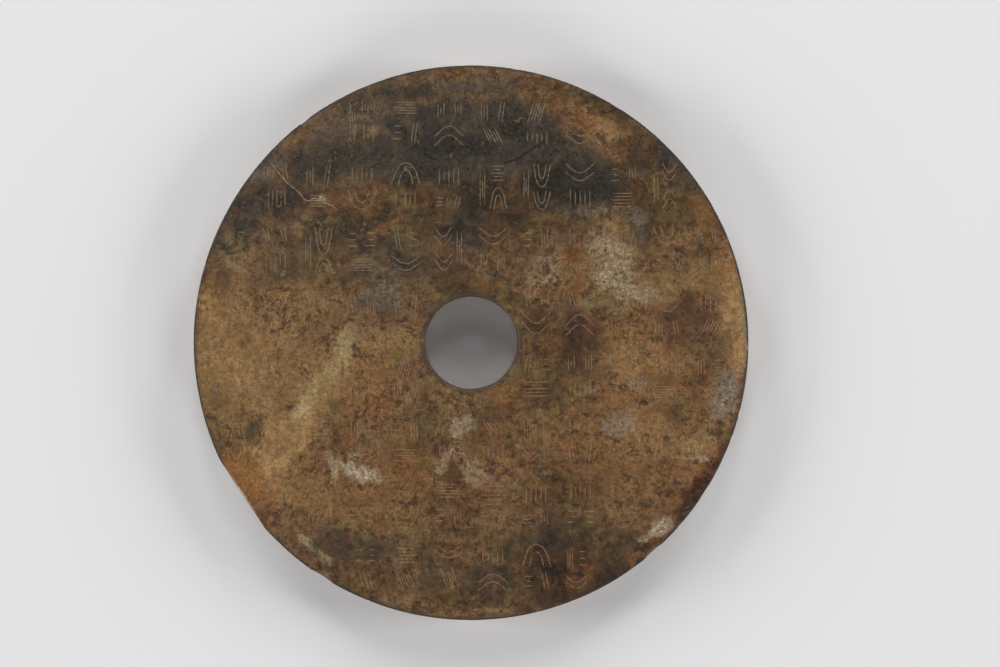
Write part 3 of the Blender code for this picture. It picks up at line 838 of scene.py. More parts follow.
@dataclass
class DiscBody:
    """The stone itself: a turned slab, worn and chipped, with its strokes cut into it.

    Its hand number settles how the strokes waver and how the edges of the patches wander.
    """

    rim_rounding: float = 0.0009
    hole_narrow: float = 0.01825
    hole_flare: float = 0.0004
    hole_chamfer: float = 0.0006
    sectors: int = 480
    face_rings: int = 62
    back_rings: int = 9
    wall_rings: int = 5
    arc_steps: int = 4
    flat_azimuth_deg: float = 213.5
    flat_depth: float = 0.0012
    flat_from: float = 0.8
    flat_band: float = 0.15
    stroke_radius: float = 0.00029
    stroke_lift: float = 0.00011
    stroke_taper: float = 0.55
    straight_steps: int = 4
    corner_cut: float = 0.25
    corner_cuts: int = 2
    hand_waver: float = 0.00011
    waver_steps: Pair = (3.7, 0.35)
    hand_bow: float = 0.0005
    bow_scale: float = 45.0
    crack_width: float = 0.8
    crack_reach: float = 0.0015
    swells: tuple[Triple, ...] = (
        (22.0, 1.7, 0.00010),
        (130.0, 4.1, 0.000045),
        (420.0, 9.4, 0.00002),
    )
    swell_fade: float = 0.004
    rim_waves: tuple[Pair, ...] = ((2.3, 0.00012), (11.0, 0.00005))
    hole_waves: tuple[Pair, ...] = ((2.3, 0.00022), (9.0, 0.00008))
    wave_height_scale: float = 20.0
    nick_scale: float = 41.0
    nick_level: float = 0.3
    nick_depth: float = 0.0003
    back_strength: float = 0.6
    back_from: float = 0.75
    back_band: float = 0.5
    full_depth: float = 0.9
    edge_band: float = 0.0016
    edge_fade: float = 0.0007
    rim_band: float = 0.0011
    rim_fade: float = 0.0006
    mouth_band: float = 0.0004
    mouth_fade: float = 0.0007
    sharp_deg: float = 35.0
    grid: SignGrid = field(default_factory=SignGrid)
    patches: PatchMap = field(default_factory=PatchMap)
    chips: tuple[Triple, ...] = (
        (311.0, 0.0085, 0.0009),
        (237.5, 0.0100, 0.0007),
        (127.0, 0.0050, 0.0005),
    )
    hole_chip: Triple = (327.0, 0.0050, 0.0008)
    chip_reach: float = 0.4
    hand: int = 8

    def profile(self) -> list[Point]:
        """Section of the slab as (radius, height), from the hole's upper mouth round to itself.

        Returns:
            The points of the section.
        """
        mouth = self.hole_narrow + self.hole_flare
        face_start = mouth + self.hole_chamfer
        face_end = OUTER_RADIUS - self.rim_rounding
        width = face_end - face_start
        face = [face_start + width * i / self.face_rings for i in range(self.face_rings)]
        back = [face_end - width * i / self.back_rings for i in range(1, self.back_rings)]
        points = [(radius, THICKNESS) for radius in face]
        points += self.arc(THICKNESS - self.rim_rounding, 90.0)
        span = THICKNESS - 2.0 * self.rim_rounding
        points += [
            (OUTER_RADIUS, THICKNESS - self.rim_rounding - span * i / self.wall_rings)
            for i in range(1, self.wall_rings)
        ]
        points += self.arc(self.rim_rounding, 0.0)
        points += [(radius, 0.0) for radius in back]
        points += [(face_start, 0.0), (mouth, self.hole_chamfer)]
        points += [(self.hole_narrow, THICKNESS / 2.0), (mouth, THICKNESS - self.hole_chamfer)]
        return points

    def arc(self, centre_height: float, start_deg: float) -> list[Point]:
        """Quarter round of the rim's edge, turning down from start_deg above the horizon.

        Args:
            centre_height: height of the quarter round's centre.
            start_deg: where it starts, in degrees.

        Returns:
            The points from its start to its end.
        """
        centre_radius = OUTER_RADIUS - self.rim_rounding
        points = []
        for step in range(self.arc_steps + 1):
            angle = math.radians(start_deg - 90.0 * step / self.arc_steps)
            radius = centre_radius + self.rim_rounding * math.cos(angle)
            points.append((radius, centre_height + self.rim_rounding * math.sin(angle)))
        return points

    def relief(self, x: float, y: float) -> float:
        """How far the upper face stands above or below its true plane at a place.

        Args:
            x: place along X.
            y: place along Y.

        Returns:
            The height, below nought for a hollow.
        """
        height = 0.0
        for scale, layer, rise in self.swells:
            height += rise * noise.noise(Vector((x * scale, y * scale, layer)))
        return height * min(1.0, max(0.0, (OUTER_RADIUS - math.hypot(x, y)) / self.swell_fade))

    def turned_slab(self) -> bmesh.types.BMesh:
        """Spin the section once round.

        Returns:
            The slab, with its normals outwards.
        """
        bm = bmesh.new()
        verts = [bm.verts.new((radius, 0.0, height)) for radius, height in self.profile()]
        edges = [bm.edges.new(pair) for pair in zip(verts, verts[1:] + verts[:1])]
        bmesh.ops.spin(
            bm,
            geom=verts + edges,
            cent=(0.0, 0.0, 0.0),
            axis=(0.0, 0.0, 1.0),
            angle=math.tau,
            steps=self.sectors,
            use_merge=True,
        )
        bmesh.ops.recalc_face_normals(bm, faces=bm.faces)
        return bm

    def wear(self, bm: bmesh.types.BMesh) -> None:
        """Move the slab's points: the ground flat, chips, uneven rim and faintly uneven face.

        Args:
            bm: the slab.
        """
        azimuth = math.radians(self.flat_azimuth_deg)
        outward = Vector((math.cos(azimuth), math.sin(azimuth), 0.0))
        for vert in bm.verts:
            radius = vert.co.to_2d().length
            around = math.atan2(vert.co.y, vert.co.x)
            radial = Vector((math.cos(around), math.sin(around), 0.0))
            on_face = vert.co.z > THICKNESS - 1e-6
            excess = vert.co.dot(outward) - (radius - self.flat_depth)
            if excess > 0.0 and radius > self.flat_from * OUTER_RADIUS:
                share = min(1.0, (radius / OUTER_RADIUS - self.flat_from) / self.flat_band)
                vert.co -= outward * excess * share
            if radius > OUTER_RADIUS - 2.0 * self.rim_rounding:
                vert.co += radial * self.rim_shift(around, vert.co.z)
            elif radius < self.hole_narrow + 2.0 * (self.hole_flare + self.hole_chamfer):
                vert.co += radial * self.hole_shift(around, vert.co.z)
            if on_face:
                vert.co.z += self.relief(vert.co.x, vert.co.y)

    def bite(self, around: float, z: float, edge_radius: float, chip: Triple) -> float:
        """Depth of one chip at an azimuth and height; it fades below the upper edge.

        Args:
            around: the azimuth, in radians.
            z: the height over the floor.
            edge_radius: radius of the edge that is chipped.
            chip: its azimuth in degrees, its length and its depth.

        Returns:
            How far the edge is cut back.
        """
        azimuth_deg, length, depth = chip
        apart = math.remainder(around - math.radians(azimuth_deg), math.tau) * edge_radius
        share = max(0.0, 1.0 - (2.0 * apart / length) ** 2)
        fade = max(0.0, 1.0 - (THICKNESS - z) / (self.chip_reach * THICKNESS))
        return depth * share * fade

    def on_circle(self, around: float, z: float) -> Vector:
        """Where an azimuth and height lie in the noise that makes the edges uneven."""
        return Vector((math.cos(around), math.sin(around), z * self.wave_height_scale))

    def rim_shift(self, around: float, z: float) -> float:
        """How far the rim stands out at an azimuth and height.

        Args:
            around: the azimuth, in radians.
            z: the height over the floor.

        Returns:
            The shift outwards.
        """
        spot = self.on_circle(around, z)
        wander = sum(depth * noise.noise(spot * scale) for scale, depth in self.rim_waves)
        nicks = max(0.0, noise.noise(spot * self.nick_scale) - self.nick_level) * self.nick_depth
        bites = sum(self.bite(around, z, OUTER_RADIUS, chip) for chip in self.chips)
        return wander - nicks - bites

    def hole_shift(self, around: float, z: float) -> float:
        """How far the hole's wall is cut back at an azimuth and height.

        Args:
            around: the azimuth, in radians.
            z: the height over the floor.

        Returns:
            The shift outwards.
        """
        spot = self.on_circle(around, z)
        wander = sum(depth * noise.noise(spot * scale) for scale, depth in self.hole_waves)
        return wander + self.bite(around, z, self.hole_narrow, self.hole_chip)

    def hand_cut(self, stroke: list[Vector], index: int) -> list[Vector]:
        """Give a stroke a hand's line: rounded corners, more points, a slight waver and a bow.

        Args:
            stroke: its corner points.
            index: its number, which sets the waver.

        Returns:
            The points along it.
        """
        points = stroke
        if len(points) > 2:
            for _ in range(self.corner_cuts):
                cut = [points[0]]
                for first, second in zip(points, points[1:]):
                    cut += [first.lerp(second, self.corner_cut), first.lerp(second, 1.0 - self.corner_cut)]
                points = cut + [points[-1]]
        else:
            steps = range(self.straight_steps + 1)
            points = [stroke[0].lerp(stroke[1], step / self.straight_steps) for step in steps]
        wavered = []
        for step, point in enumerate(points):
            along = Vector((index * self.waver_steps[0], step * self.waver_steps[1], 2.0))
            place = Vector((point.x * self.bow_scale, point.y * self.bow_scale, 6.0))
            push = noise.noise_vector(along) * self.hand_waver
            bow = noise.noise_vector(place) * self.hand_bow
            wavered.append(point + (push + bow).to_2d())
        return wavered

    def groove_curve(self, name: str, strokes: list[list[Vector]], size: float) -> bpy.types.Object:
        """Lay round-bottomed rods along strokes, half sunk in the face.

        Args:
            name: name of the curve.
            strokes: points of each stroke.
            size: share of the usual stroke width.

        Returns:
            The rods as one mesh object.
        """
        curve = bpy.data.curves.new(name, "CURVE")
        curve.dimensions = "3D"
        curve.bevel_depth = self.stroke_radius * size
        curve.bevel_resolution = 1
        curve.use_fill_caps = True
        for stroke in strokes:
            spline = curve.splines.new("POLY")
            spline.points.add(len(stroke) - 1)
            for index, (target, point) in enumerate(zip(spline.points, stroke)):
                z = THICKNESS + self.relief(point.x, point.y) + self.stroke_lift
                target.co = (point.x, point.y, z, 1.0)
                target.radius = self.stroke_taper if index in (0, len(stroke) - 1) else 1.0
        rod = bpy.data.objects.new(name, curve)
        bpy.context.scene.collection.objects.link(rod)
        bpy.context.view_layer.update()
        mesh = bpy.data.meshes.new_from_object(rod)
        bpy.data.objects.remove(rod, do_unlink=True)
        cutter = bpy.data.objects.new(name, mesh)
        bpy.context.scene.collection.objects.link(cutter)
        return cutter

    def crack_strokes(self) -> list[list[Vector]]:
        """The two hair cracks, as points on the face."""
        return [[PHOTO.place(x, y) for x, y in crack] for crack in (PALE_CRACK, DARK_CRACK)]

    def cut(self, disc: bpy.types.Object, cutter: bpy.types.Object) -> None:
        """Take the cutter's shape out of the disc for good, and remove the cutter.

        Args:
            disc: the disc.
            cutter: the shape to take out of it.
        """
        modifier = disc.modifiers.new(cutter.name, "BOOLEAN")
        modifier.operation = "DIFFERENCE"
        modifier.solver = "EXACT"
        modifier.object = cutter
        graph = bpy.context.evaluated_depsgraph_get()
        mesh = bpy.data.meshes.new_from_object(disc.evaluated_get(graph))
        disc.modifiers.clear()
        disc.data = mesh
        bpy.data.objects.remove(cutter, do_unlink=True)

    def write_attribute(self, mesh: bpy.types.Mesh, name: str, values: np.ndarray) -> None:
        """Store one number for each point of a mesh."""
        attribute = mesh.attributes.new(name, "FLOAT", "POINT")
        attribute.data.foreach_set("value", values.astype(np.float32))

    def stain(self, mesh: bpy.types.Mesh) -> None:
        """Store how strongly each tint, the strokes and the edges show at each point.

        Args:
            mesh: the disc's mesh.
        """
        count = len(mesh.vertices)
        places = np.empty(count * 3, np.float32)
        mesh.vertices.foreach_get("co", places)
        places = places.reshape(count, 3).astype(float)
        below = self.back_from * THICKNESS - places[:, 2]
        back = np.clip(below / (self.back_band * THICKNESS), 0.0, 1.0)
        turned = np.column_stack((-places[:, 1], places[:, 0]))
        upper = self.patches.fields(places[:, :2])
        lower = self.patches.fields(turned)
        for tint in Tint:
            values = upper[tint] * (1.0 - back) + self.back_strength * lower[tint] * back
            self.write_attribute(mesh, tint.value, values)
        radius = np.hypot(places[:, 0], places[:, 1])
        level = np.array([THICKNESS + self.relief(x, y) for x, y, _ in places])
        face_end = OUTER_RADIUS - self.rim_rounding - self.rim_fade
        inside = (radius < face_end) & (radius > self.grid.hole_mouth)
        full = self.full_depth * (self.stroke_radius - self.stroke_lift)
        depth = np.clip((level - places[:, 2]) / full, 0.0, 1.0)
        self.write_attribute(mesh, "incised", depth * inside * (places[:, 2] > THICKNESS / 2.0))
        # the rim and mouth masks carry the painted shade at the rim and the hole's edge, and their duller
        # polish
        top_edge = np.clip((places[:, 2] - THICKNESS + self.edge_band) / self.edge_fade, 0.0, 1.0)
        rim = np.clip((radius - (OUTER_RADIUS - self.rim_band)) / self.rim_fade, 0.0, 1.0)
        self.write_attribute(mesh, "rim", rim * top_edge)
        mouth = np.clip((self.grid.hole_mouth + self.mouth_band - radius) / self.mouth_fade, 0.0, 1.0)
        self.write_attribute(mesh, "mouth", mouth * top_edge)
        for name, crack in zip(("pale_crack", "dark_crack"), self.crack_strokes()):
            self.write_attribute(mesh, name, self.nearness(places, crack))

    def nearness(self, places: np.ndarray, path: list[Vector]) -> np.ndarray:
        """One on a path, falling to nothing at the cracks' reach.

        Args:
            places: rows of x, y and z.
            path: points of the path.

        Returns:
            One value for each place.
        """
        best = np.full(len(places), np.inf)
        for first, second in zip(path, path[1:]):
            span = np.array(second - first)
            offset = places[:, :2] - np.array(first)
            share = np.clip(offset @ span / (span @ span), 0.0, 1.0)
            best = np.minimum(best, np.linalg.norm(offset - share[:, None] * span, axis=1))
        return np.clip(1.0 - best / self.crack_reach, 0.0, 1.0)

    def lay_flat(self, mesh: bpy.types.Mesh) -> None:
        """Lay the surface out on a unit square: both faces as discs, both walls as strips.

        Args:
            mesh: the disc's mesh.
        """
        sheet = mesh.uv_layers.new(name="OFBake")
        layout = FlatLayout()
        for face in mesh.polygons:
            for loop in face.loop_indices:
                place = mesh.vertices[mesh.loops[loop].vertex_index].co
                sheet.data[loop].uv = layout.spot(place, face.center, face.normal)

    def build(self) -> bpy.types.Object:
        """Make the finished disc.

        Returns:
            The object, with its stone on it.
        """
        noise.seed_set(self.hand)
        bm = self.turned_slab()
        self.wear(bm)
        mesh = bpy.data.meshes.new("stone_disc")
        bm.to_mesh(mesh)
        bm.free()
        disc = bpy.data.objects.new("stone_disc", mesh)
        bpy.context.scene.collection.objects.link(disc)
        strokes = [self.hand_cut(stroke, index) for index, stroke in enumerate(self.grid.strokes())]
        self.cut(disc, self.groove_curve("incised_strokes", strokes, 1.0))
        self.cut(disc, self.groove_curve("hair_cracks", self.crack_strokes(), self.crack_width))
        disc.data.shade_smooth()
        disc.data.set_sharp_from_angle(angle=math.radians(self.sharp_deg))
        self.stain(disc.data)
        self.lay_flat(disc.data)
        disc.data.materials.clear()
        disc.data.materials.append(StoneFinish().material())
        return disc


@dataclass(frozen=True)
class Grain:
    """One noise in the stone: grains per metre, finer layers and how far it is pushed about."""

    scale: float
    detail: float
    roughness: float
    distortion: float = 0.0


class Bench:
    """Lays out and wires one material's nodes."""

    def __init__(self, material: bpy.types.Material) -> None:
        """Start from the material's own shader.

        Args:
            material: the material to build.
        """
        material.use_nodes = True
        self.tree = material.node_tree
        self.shader = self.tree.nodes["Principled BSDF"]
        self.place = self.tree.nodes.new("ShaderNodeTexCoord").outputs["Object"]

    def wire(self, target: bpy.types.NodeSocket, value: object) -> None:
        """Link a socket, or set it where the value is a plain one.

        Args:
            target: the socket to feed.
            value: a socket, a colour or a number.
        """
        if isinstance(value, bpy.types.NodeSocket):
            self.tree.links.new(value, target)
        elif isinstance(value, tuple) and len(target.default_value) == 4:
            target.default_value = (*value, 1.0)
        else:
            target.default_value = value

    def attribute(self, name: str) -> bpy.types.NodeSocket:
        """Read a number stored on the points.

        Args:
            name: name of the attribute.

        Returns:
            The socket that gives it.
        """
        node = self.tree.nodes.new("ShaderNodeAttribute")
        node.attribute_name = name
        return node.outputs["Fac"]

    def stretched(self, stretch: Triple, turn_deg: float = 0.0) -> bpy.types.NodeSocket:
        """Object coordinates turned about the disc's axis and stretched.

        Args:
            stretch: factor along each axis.
            turn_deg: turn in degrees.

        Returns:
            The socket that gives them.
        """
        node = self.tree.nodes.new("ShaderNodeMapping")
        self.wire(node.inputs["Vector"], self.place)
        node.inputs["Scale"].default_value = stretch
        node.inputs["Rotation"].default_value = (0.0, 0.0, math.radians(turn_deg))
        return node.outputs["Vector"]

    def noise(self, grain: Grain, at: bpy.types.NodeSocket | None = None) -> bpy.types.NodeSocket:
        """Soft noise from 0 to 1, mostly near a half.

        Args:
            grain: its scale, its finer layers and its distortion.
            at: the coordinates, or None for Object coordinates.

        Returns:
            The socket that gives it.
        """
        node = self.tree.nodes.new("ShaderNodeTexNoise")
        self.wire(node.inputs["Vector"], at or self.place)
        node.inputs["Scale"].default_value = grain.scale
        node.inputs["Detail"].default_value = grain.detail
        node.inputs["Roughness"].default_value = grain.roughness
        node.inputs["Distortion"].default_value = grain.distortion
        return node.outputs["Fac"]

    def math(self, operation: str, first: object, second: object = 0.0, third: object = 0.0) -> object:
        """One sum on two or three numbers.

        Args:
            operation: name of the sum.
            first: a socket or number.
            second: a socket or number.
            third: a socket or number.

        Returns:
            The socket that gives the result.
        """
        node = self.tree.nodes.new("ShaderNodeMath")
        node.operation = operation
        for target, value in zip(node.inputs, (first, second, third)):
            self.wire(target, value)
        return node.outputs[0]

    def step(self, value: object, low: float, high: float, top: float = 1.0) -> bpy.types.NodeSocket:
        """Rise smoothly from 0 at low to top at high.

        Args:
            value: the socket to read.
            low: where the rise starts.
            high: where it ends.
            top: how high it rises.

        Returns:
            The socket that gives the result.
        """
        node = self.tree.nodes.new("ShaderNodeMapRange")
        node.interpolation_type = "SMOOTHSTEP"
        self.wire(node.inputs["Value"], value)
        node.inputs["From Min"].default_value = low
        node.inputs["From Max"].default_value = high
        node.inputs["To Max"].default_value = top
        return node.outputs["Result"]

    def spread(self, value: object, low: float, high: float) -> bpy.types.NodeSocket:
        """Spread a value of 0 to 1 between low and high."""
        return self.math("MULTIPLY_ADD", value, high - low, low)

    def broken(self, mask: object, grains: Iterable[tuple[object, float]]) -> object:
        """Add grains about their middle to a mask, so that its edge breaks up.

        Args:
            mask: the mask.
            grains: each grain with its amount.

        Returns:
            The mask with broken edges.
        """
        for grain, amount in grains:
            mask = self.math("ADD", mask, self.spread(grain, -0.5 * amount, 0.5 * amount))
        return mask

    def mix(self, share: object, first: object, second: object) -> bpy.types.NodeSocket:
        """Blend two colours.

        Args:
            share: share of the second colour.
            first: a socket or colour.
            second: a socket or colour.

        Returns:
            The socket that gives the blend.
        """
        node = self.tree.nodes.new("ShaderNodeMix")
        node.data_type = "RGBA"
        self.wire(node.inputs[0], share)
        self.wire(node.inputs[6], first)
        self.wire(node.inputs[7], second)
        return node.outputs[2]

    def shade(self, colour: object, amount: object) -> bpy.types.NodeSocket:
        """Multiply a colour by a grey amount.

        Args:
            colour: the colour.
            amount: a socket or number, where 1 leaves the colour as it is.

        Returns:
            The socket that gives the result.
        """
        node = self.tree.nodes.new("ShaderNodeVectorMath")
        node.operation = "SCALE"
        self.wire(node.inputs[0], colour)
        self.wire(node.inputs["Scale"], amount)
        return node.outputs[0]


@dataclass(frozen=True)
class Veil:
    """How one tint lies over the stone: its colours, how broken its edge is and how dense it is."""

    tint: Tint
    light: Colour
    dark: Colour
    broad_break: float
    fine_break: float
    low: float
    high: float
    density: float


VEILS = (
    Veil(Tint.HONEY, srgb(179, 144, 96), srgb(138, 103, 62), 1.6, 0.8, 0.10, 0.95, 0.95),
    Veil(Tint.AMBER, srgb(156, 108, 58), srgb(120, 76, 40), 2.0, 1.0, 0.10, 0.95, 0.80),
    Veil(Tint.UMBER, srgb(88, 52, 34), srgb(42, 26, 19), 2.8, 2.2, 0.15, 0.95, 0.90),
    Veil(Tint.CLOUD, srgb(76, 68, 58), srgb(42, 40, 36), 2.4, 1.0, 0.10, 0.90, 0.95),
    Veil(Tint.SLATE, srgb(100, 96, 90), srgb(64, 60, 57), 2.6, 2.0, 0.25, 0.95, 0.65),
    Veil(Tint.MOSS, srgb(178, 158, 112), srgb(146, 120, 78), 1.8, 1.0, 0.10, 0.95, 0.85),
    Veil(Tint.FROST, srgb(152, 138, 122), srgb(112, 98, 82), 2.4, 1.8, 0.25, 0.95, 0.70),
    Veil(Tint.CHALK, srgb(176, 157, 124), srgb(132, 106, 74), 2.8, 1.8, 0.28, 1.0, 0.88),
)


@dataclass(frozen=True)
class Mottle:
    """One colour that noise lays into the bare stone: its grain, bounds and density."""

    name: str
    colour: Colour
    grain: Grain
    turn_deg: float
    low: float
    high: float
    density: float
    stretch: Triple = (1.0, 1.0, 1.0)


MOTTLES = (
    Mottle("rust", srgb(112, 70, 42), Grain(120.0, 6.0, 0.75, 0.8), 70.0, 0.50, 0.64, 0.65),
    Mottle("olive", srgb(124, 104, 60), Grain(75.0, 6.0, 0.75, 0.6), 35.0, 0.49, 0.60, 0.60),
    Mottle("ash", srgb(112, 98, 76), Grain(150.0, 6.0, 0.78, 0.6), 160.0, 0.52, 0.66, 0.60),
    Mottle(
        "wisps", srgb(58, 42, 30), Grain(150.0, 6.0, 0.78, 1.2), 12.0, 0.55, 0.70, 0.60, (1.0, 0.5, 1.0)
    ),
    Mottle("specks", srgb(52, 35, 24), Grain(520.0, 3.0, 0.7, 0.5), 0.0, 0.58, 0.70, 0.75),
)


@dataclass(frozen=True)
class StoneFinish:
    """Brown altered jade, clouded, bleached and crusted, with dust in its strokes."""

    tan: Colour = srgb(134, 102, 66)
    brown: Colour = srgb(86, 60, 40)
    grit: Colour = srgb(206, 196, 174)
    upper_dust: Colour = srgb(154, 140, 112)
    lower_dust: Colour = srgb(186, 146, 108)
    pale_crack: Colour = srgb(204, 176, 154)
    dark_crack: Colour = srgb(34, 26, 22)
    # painted shade: the dark line where the rounded rim and the hole's edge turn away from the light
    rim: Colour = srgb(24, 18, 14)
    broad: Grain = Grain(85.0, 7.0, 0.75, 0.6)
    mottle: Grain = Grain(170.0, 5.0, 0.75, 0.5)
    middle: Grain = Grain(290.0, 5.0, 0.8, 0.3)
    fine: Grain = Grain(760.0, 3.0, 0.8)
    grits: Grain = Grain(640.0, 4.0, 0.8, 0.4)
    finest: Grain = Grain(2200.0, 2.0, 0.7)
    body_bounds: Pair = (0.41, 0.59)
    body_shares: Pair = (0.45, 0.55)
    fine_share: float = 0.6
    tint_bounds: Pair = (0.44, 0.56)
    grit_breaks: Pair = (2.0, 3.0)
    grit_bounds: Pair = (1.00, 1.42)
    grit_density: float = 0.65
    crust_bounds: Pair = (0.02, 0.25)
    shade_breaks: Pair = (1.6, 0.5)
    shade_bounds: Pair = (0.05, 1.0)
    darkest_shade: float = 0.42
    mottle_reach: float = 0.25
    clear_bounds: Pair = (0.0, 0.5)
    tone: float = 0.80
    middle_shading: Pair = (-0.1, 2.1)
    fine_shading: Pair = (-0.15, 2.15)
    grain_shading: Pair = (0.3, 1.7)
    incised_bounds: Pair = (0.05, 0.7)
    dust_bounds: Pair = (0.28, 0.52)
    lower_dusting: float = 0.68
    upper_dusting: float = 0.85
    pale_bounds: Pair = (0.6, 0.85)
    worn_bounds: Pair = (0.38, 0.58)
    least_worn: float = 0.45
    dark_bounds: Pair = (0.56, 0.88)
    dark_density: float = 0.9
    gap_bounds: Pair = (0.25, 0.42)
    rim_shade_bounds: Pair = (0.30, 0.50)
    polish: float = 0.45
    polish_spread: float = 0.15
    dulling: float = 0.3
    gloss: float = 0.35
    pit_strength: float = 0.6
    pit_depth: float = 0.00015
    pit_grain: float = 0.5

    def material(self) -> bpy.types.Material:
        """Build the stone's shader.

        Returns:
            The material.
        """
        material = bpy.data.materials.new("altered_jade")
        bench = Bench(material)
        broad = bench.noise(self.broad)
        middle = bench.noise(self.middle)
        fine = bench.noise(self.fine)
        grain = bench.noise(self.finest)
        colour = self.ground(bench, broad, middle)
        for veil in VEILS:
            colour = self.lay(bench, veil, colour, (broad, middle, fine))
        colour = self.gritted(bench, colour, broad)
        shade = bench.broken(bench.attribute(Tint.SHADE.value), zip((broad, fine), self.shade_breaks))
        share = bench.step(shade, *self.shade_bounds)
        colour = bench.mix(share, colour, bench.shade(colour, self.darkest_shade))
        mottle = bench.noise(self.mottle)
        mottle = bench.spread(mottle, -self.mottle_reach, self.mottle_reach)
        clear = bench.spread(bench.step(bench.attribute(Tint.CLOUD.value), *self.clear_bounds), 1.0, 0.0)
        colour = bench.shade(colour, bench.math("MULTIPLY_ADD", mottle, clear, 1.0))
        darkest, lightest = self.middle_shading
        colour = bench.shade(colour, bench.spread(middle, self.tone * darkest, self.tone * lightest))
        colour = bench.shade(colour, bench.spread(fine, *self.fine_shading))
        colour = bench.shade(colour, bench.spread(grain, *self.grain_shading))
        colour = self.marks(bench, colour, broad, fine)
        bench.wire(bench.shader.inputs["Base Color"], colour)
        self.surface(bench, fine, grain)
        return material

    def ground(self, bench: Bench, broad: object, middle: object) -> object:
        """Mottled brown of the bare stone, with dark specks and wisps.

        Args:
            bench: the bench that the material is laid out on.
            broad: the broadest noise.
            middle: the middle noise.

        Returns:
            The socket that gives its colour.
        """
        broad_share, middle_share = self.body_shares
        body = bench.math("MULTIPLY_ADD", broad, broad_share, bench.math("MULTIPLY", middle, middle_share))
        colour = bench.mix(bench.step(body, *self.body_bounds), self.brown, self.tan)
        for mottle in MOTTLES:
            place = bench.stretched(mottle.stretch, mottle.turn_deg)
            share = bench.step(bench.noise(mottle.grain, place), mottle.low, mottle.high, mottle.density)
            colour = bench.mix(share, colour, mottle.colour)
        return colour

    def lay(self, bench: Bench, veil: Veil, colour: object, grains: tuple[object, ...]) -> object:
        """Lay one tint over the stone.

        Args:
            bench: the bench that the material is laid out on.
            veil: the tint and how it lies.
            colour: the colour so far.
            grains: the broad, middle and fine noise.

        Returns:
            The colour with the tint over it.
        """
        broad, middle, _ = grains
        own = bench.math("MULTIPLY_ADD", middle, 0.5, bench.math("MULTIPLY", broad, 0.5))
        tinted = bench.mix(bench.step(own, *self.tint_bounds), veil.light, veil.dark)
        breaks = (veil.broad_break, veil.fine_break, self.fine_share * veil.fine_break)
        mask = bench.broken(bench.attribute(veil.tint.value), zip(grains, breaks))
        return bench.mix(bench.step(mask, veil.low, veil.high, veil.density), colour, tinted)

    def gritted(self, bench: Bench, colour: object, broad: object) -> object:
        """Scatter bright grains over the chalky and frosted areas.

        Args:
            bench: the bench that the material is laid out on.
            colour: the colour so far.
            broad: the broadest noise.

        Returns:
            The colour with the grains in it.
        """
        chalk, frost = bench.attribute(Tint.CHALK.value), bench.attribute(Tint.FROST.value)
        crusted = bench.math("MAXIMUM", chalk, frost)
        grains = bench.noise(self.grits)
        lot = bench.broken(crusted, zip((broad, grains), self.grit_breaks))
        share = bench.step(lot, *self.grit_bounds, self.grit_density)
        share = bench.math("MULTIPLY", share, bench.step(crusted, *self.crust_bounds))
        return bench.mix(share, colour, self.grit)

    def marks(self, bench: Bench, colour: object, broad: object, fine: object) -> object:
        """Dust in the strokes, the two cracks, and painted shade along the rim and the hole's edge.

        Args:
            bench: the bench that the material is laid out on.
            colour: the colour so far.
            broad: the broadest noise.
            fine: the fine noise.

        Returns:
            The colour with the marks on it.
        """
        incised = bench.step(bench.attribute("incised"), *self.incised_bounds)
        dust = bench.spread(bench.attribute(Tint.DUST.value), self.lower_dusting, self.upper_dusting)
        dusty = bench.math("MULTIPLY", dust, bench.step(fine, *self.dust_bounds))
        dust_colour = bench.mix(bench.attribute(Tint.DUST.value), self.lower_dust, self.upper_dust)
        colour = bench.mix(bench.math("MULTIPLY", incised, dusty), colour, dust_colour)
        pale = bench.step(bench.attribute("pale_crack"), *self.pale_bounds)
        pale = bench.math("MULTIPLY", incised, pale)
        worn = bench.spread(bench.step(fine, *self.worn_bounds), self.least_worn, 1.0)
        colour = bench.mix(bench.math("MULTIPLY", pale, worn), colour, self.pale_crack)
        dark = bench.step(bench.attribute("dark_crack"), *self.dark_bounds, self.dark_density)
        dark = bench.math("MULTIPLY", dark, bench.step(fine, *self.gap_bounds))
        colour = bench.mix(dark, colour, self.dark_crack)
        # painted shade along the rim and the hole's edge, broken up by the broad noise
        edge = bench.math("MAXIMUM", bench.attribute("rim"), bench.attribute("mouth"))
        share = bench.math("MULTIPLY", edge, bench.step(broad, *self.rim_shade_bounds))
        return bench.mix(share, colour, self.rim)

    def surface(self, bench: Bench, fine: object, grain: object) -> None:
        """Soft polish with fine pits, and dull crusts and strokes.

        Args:
            bench: the bench that the material is laid out on.
            fine: the fine noise.
            grain: the finest noise.
        """
        dull = bench.math("MAXIMUM", bench.attribute(Tint.CHALK.value), bench.attribute("incised"))
        edge = bench.math("MAXIMUM", bench.attribute("rim"), bench.attribute("mouth"))
        dull = bench.math("MAXIMUM", dull, edge)
        polish = bench.spread(fine, self.polish - self.polish_spread, self.polish + self.polish_spread)
        roughness = bench.math("MULTIPLY_ADD", dull, self.dulling, polish)
        bench.wire(bench.shader.inputs["Roughness"], roughness)
        bump = bench.tree.nodes.new("ShaderNodeBump")
        bump.inputs["Strength"].default_value = self.pit_strength
        bump.inputs["Distance"].default_value = self.pit_depth
        bench.wire(bump.inputs["Height"], bench.math("MULTIPLY_ADD", grain, self.pit_grain, fine))
        bench.wire(bench.shader.inputs["Normal"], bump.outputs["Normal"])
        bench.shader.inputs["Specular IOR Level"].default_value = self.gloss


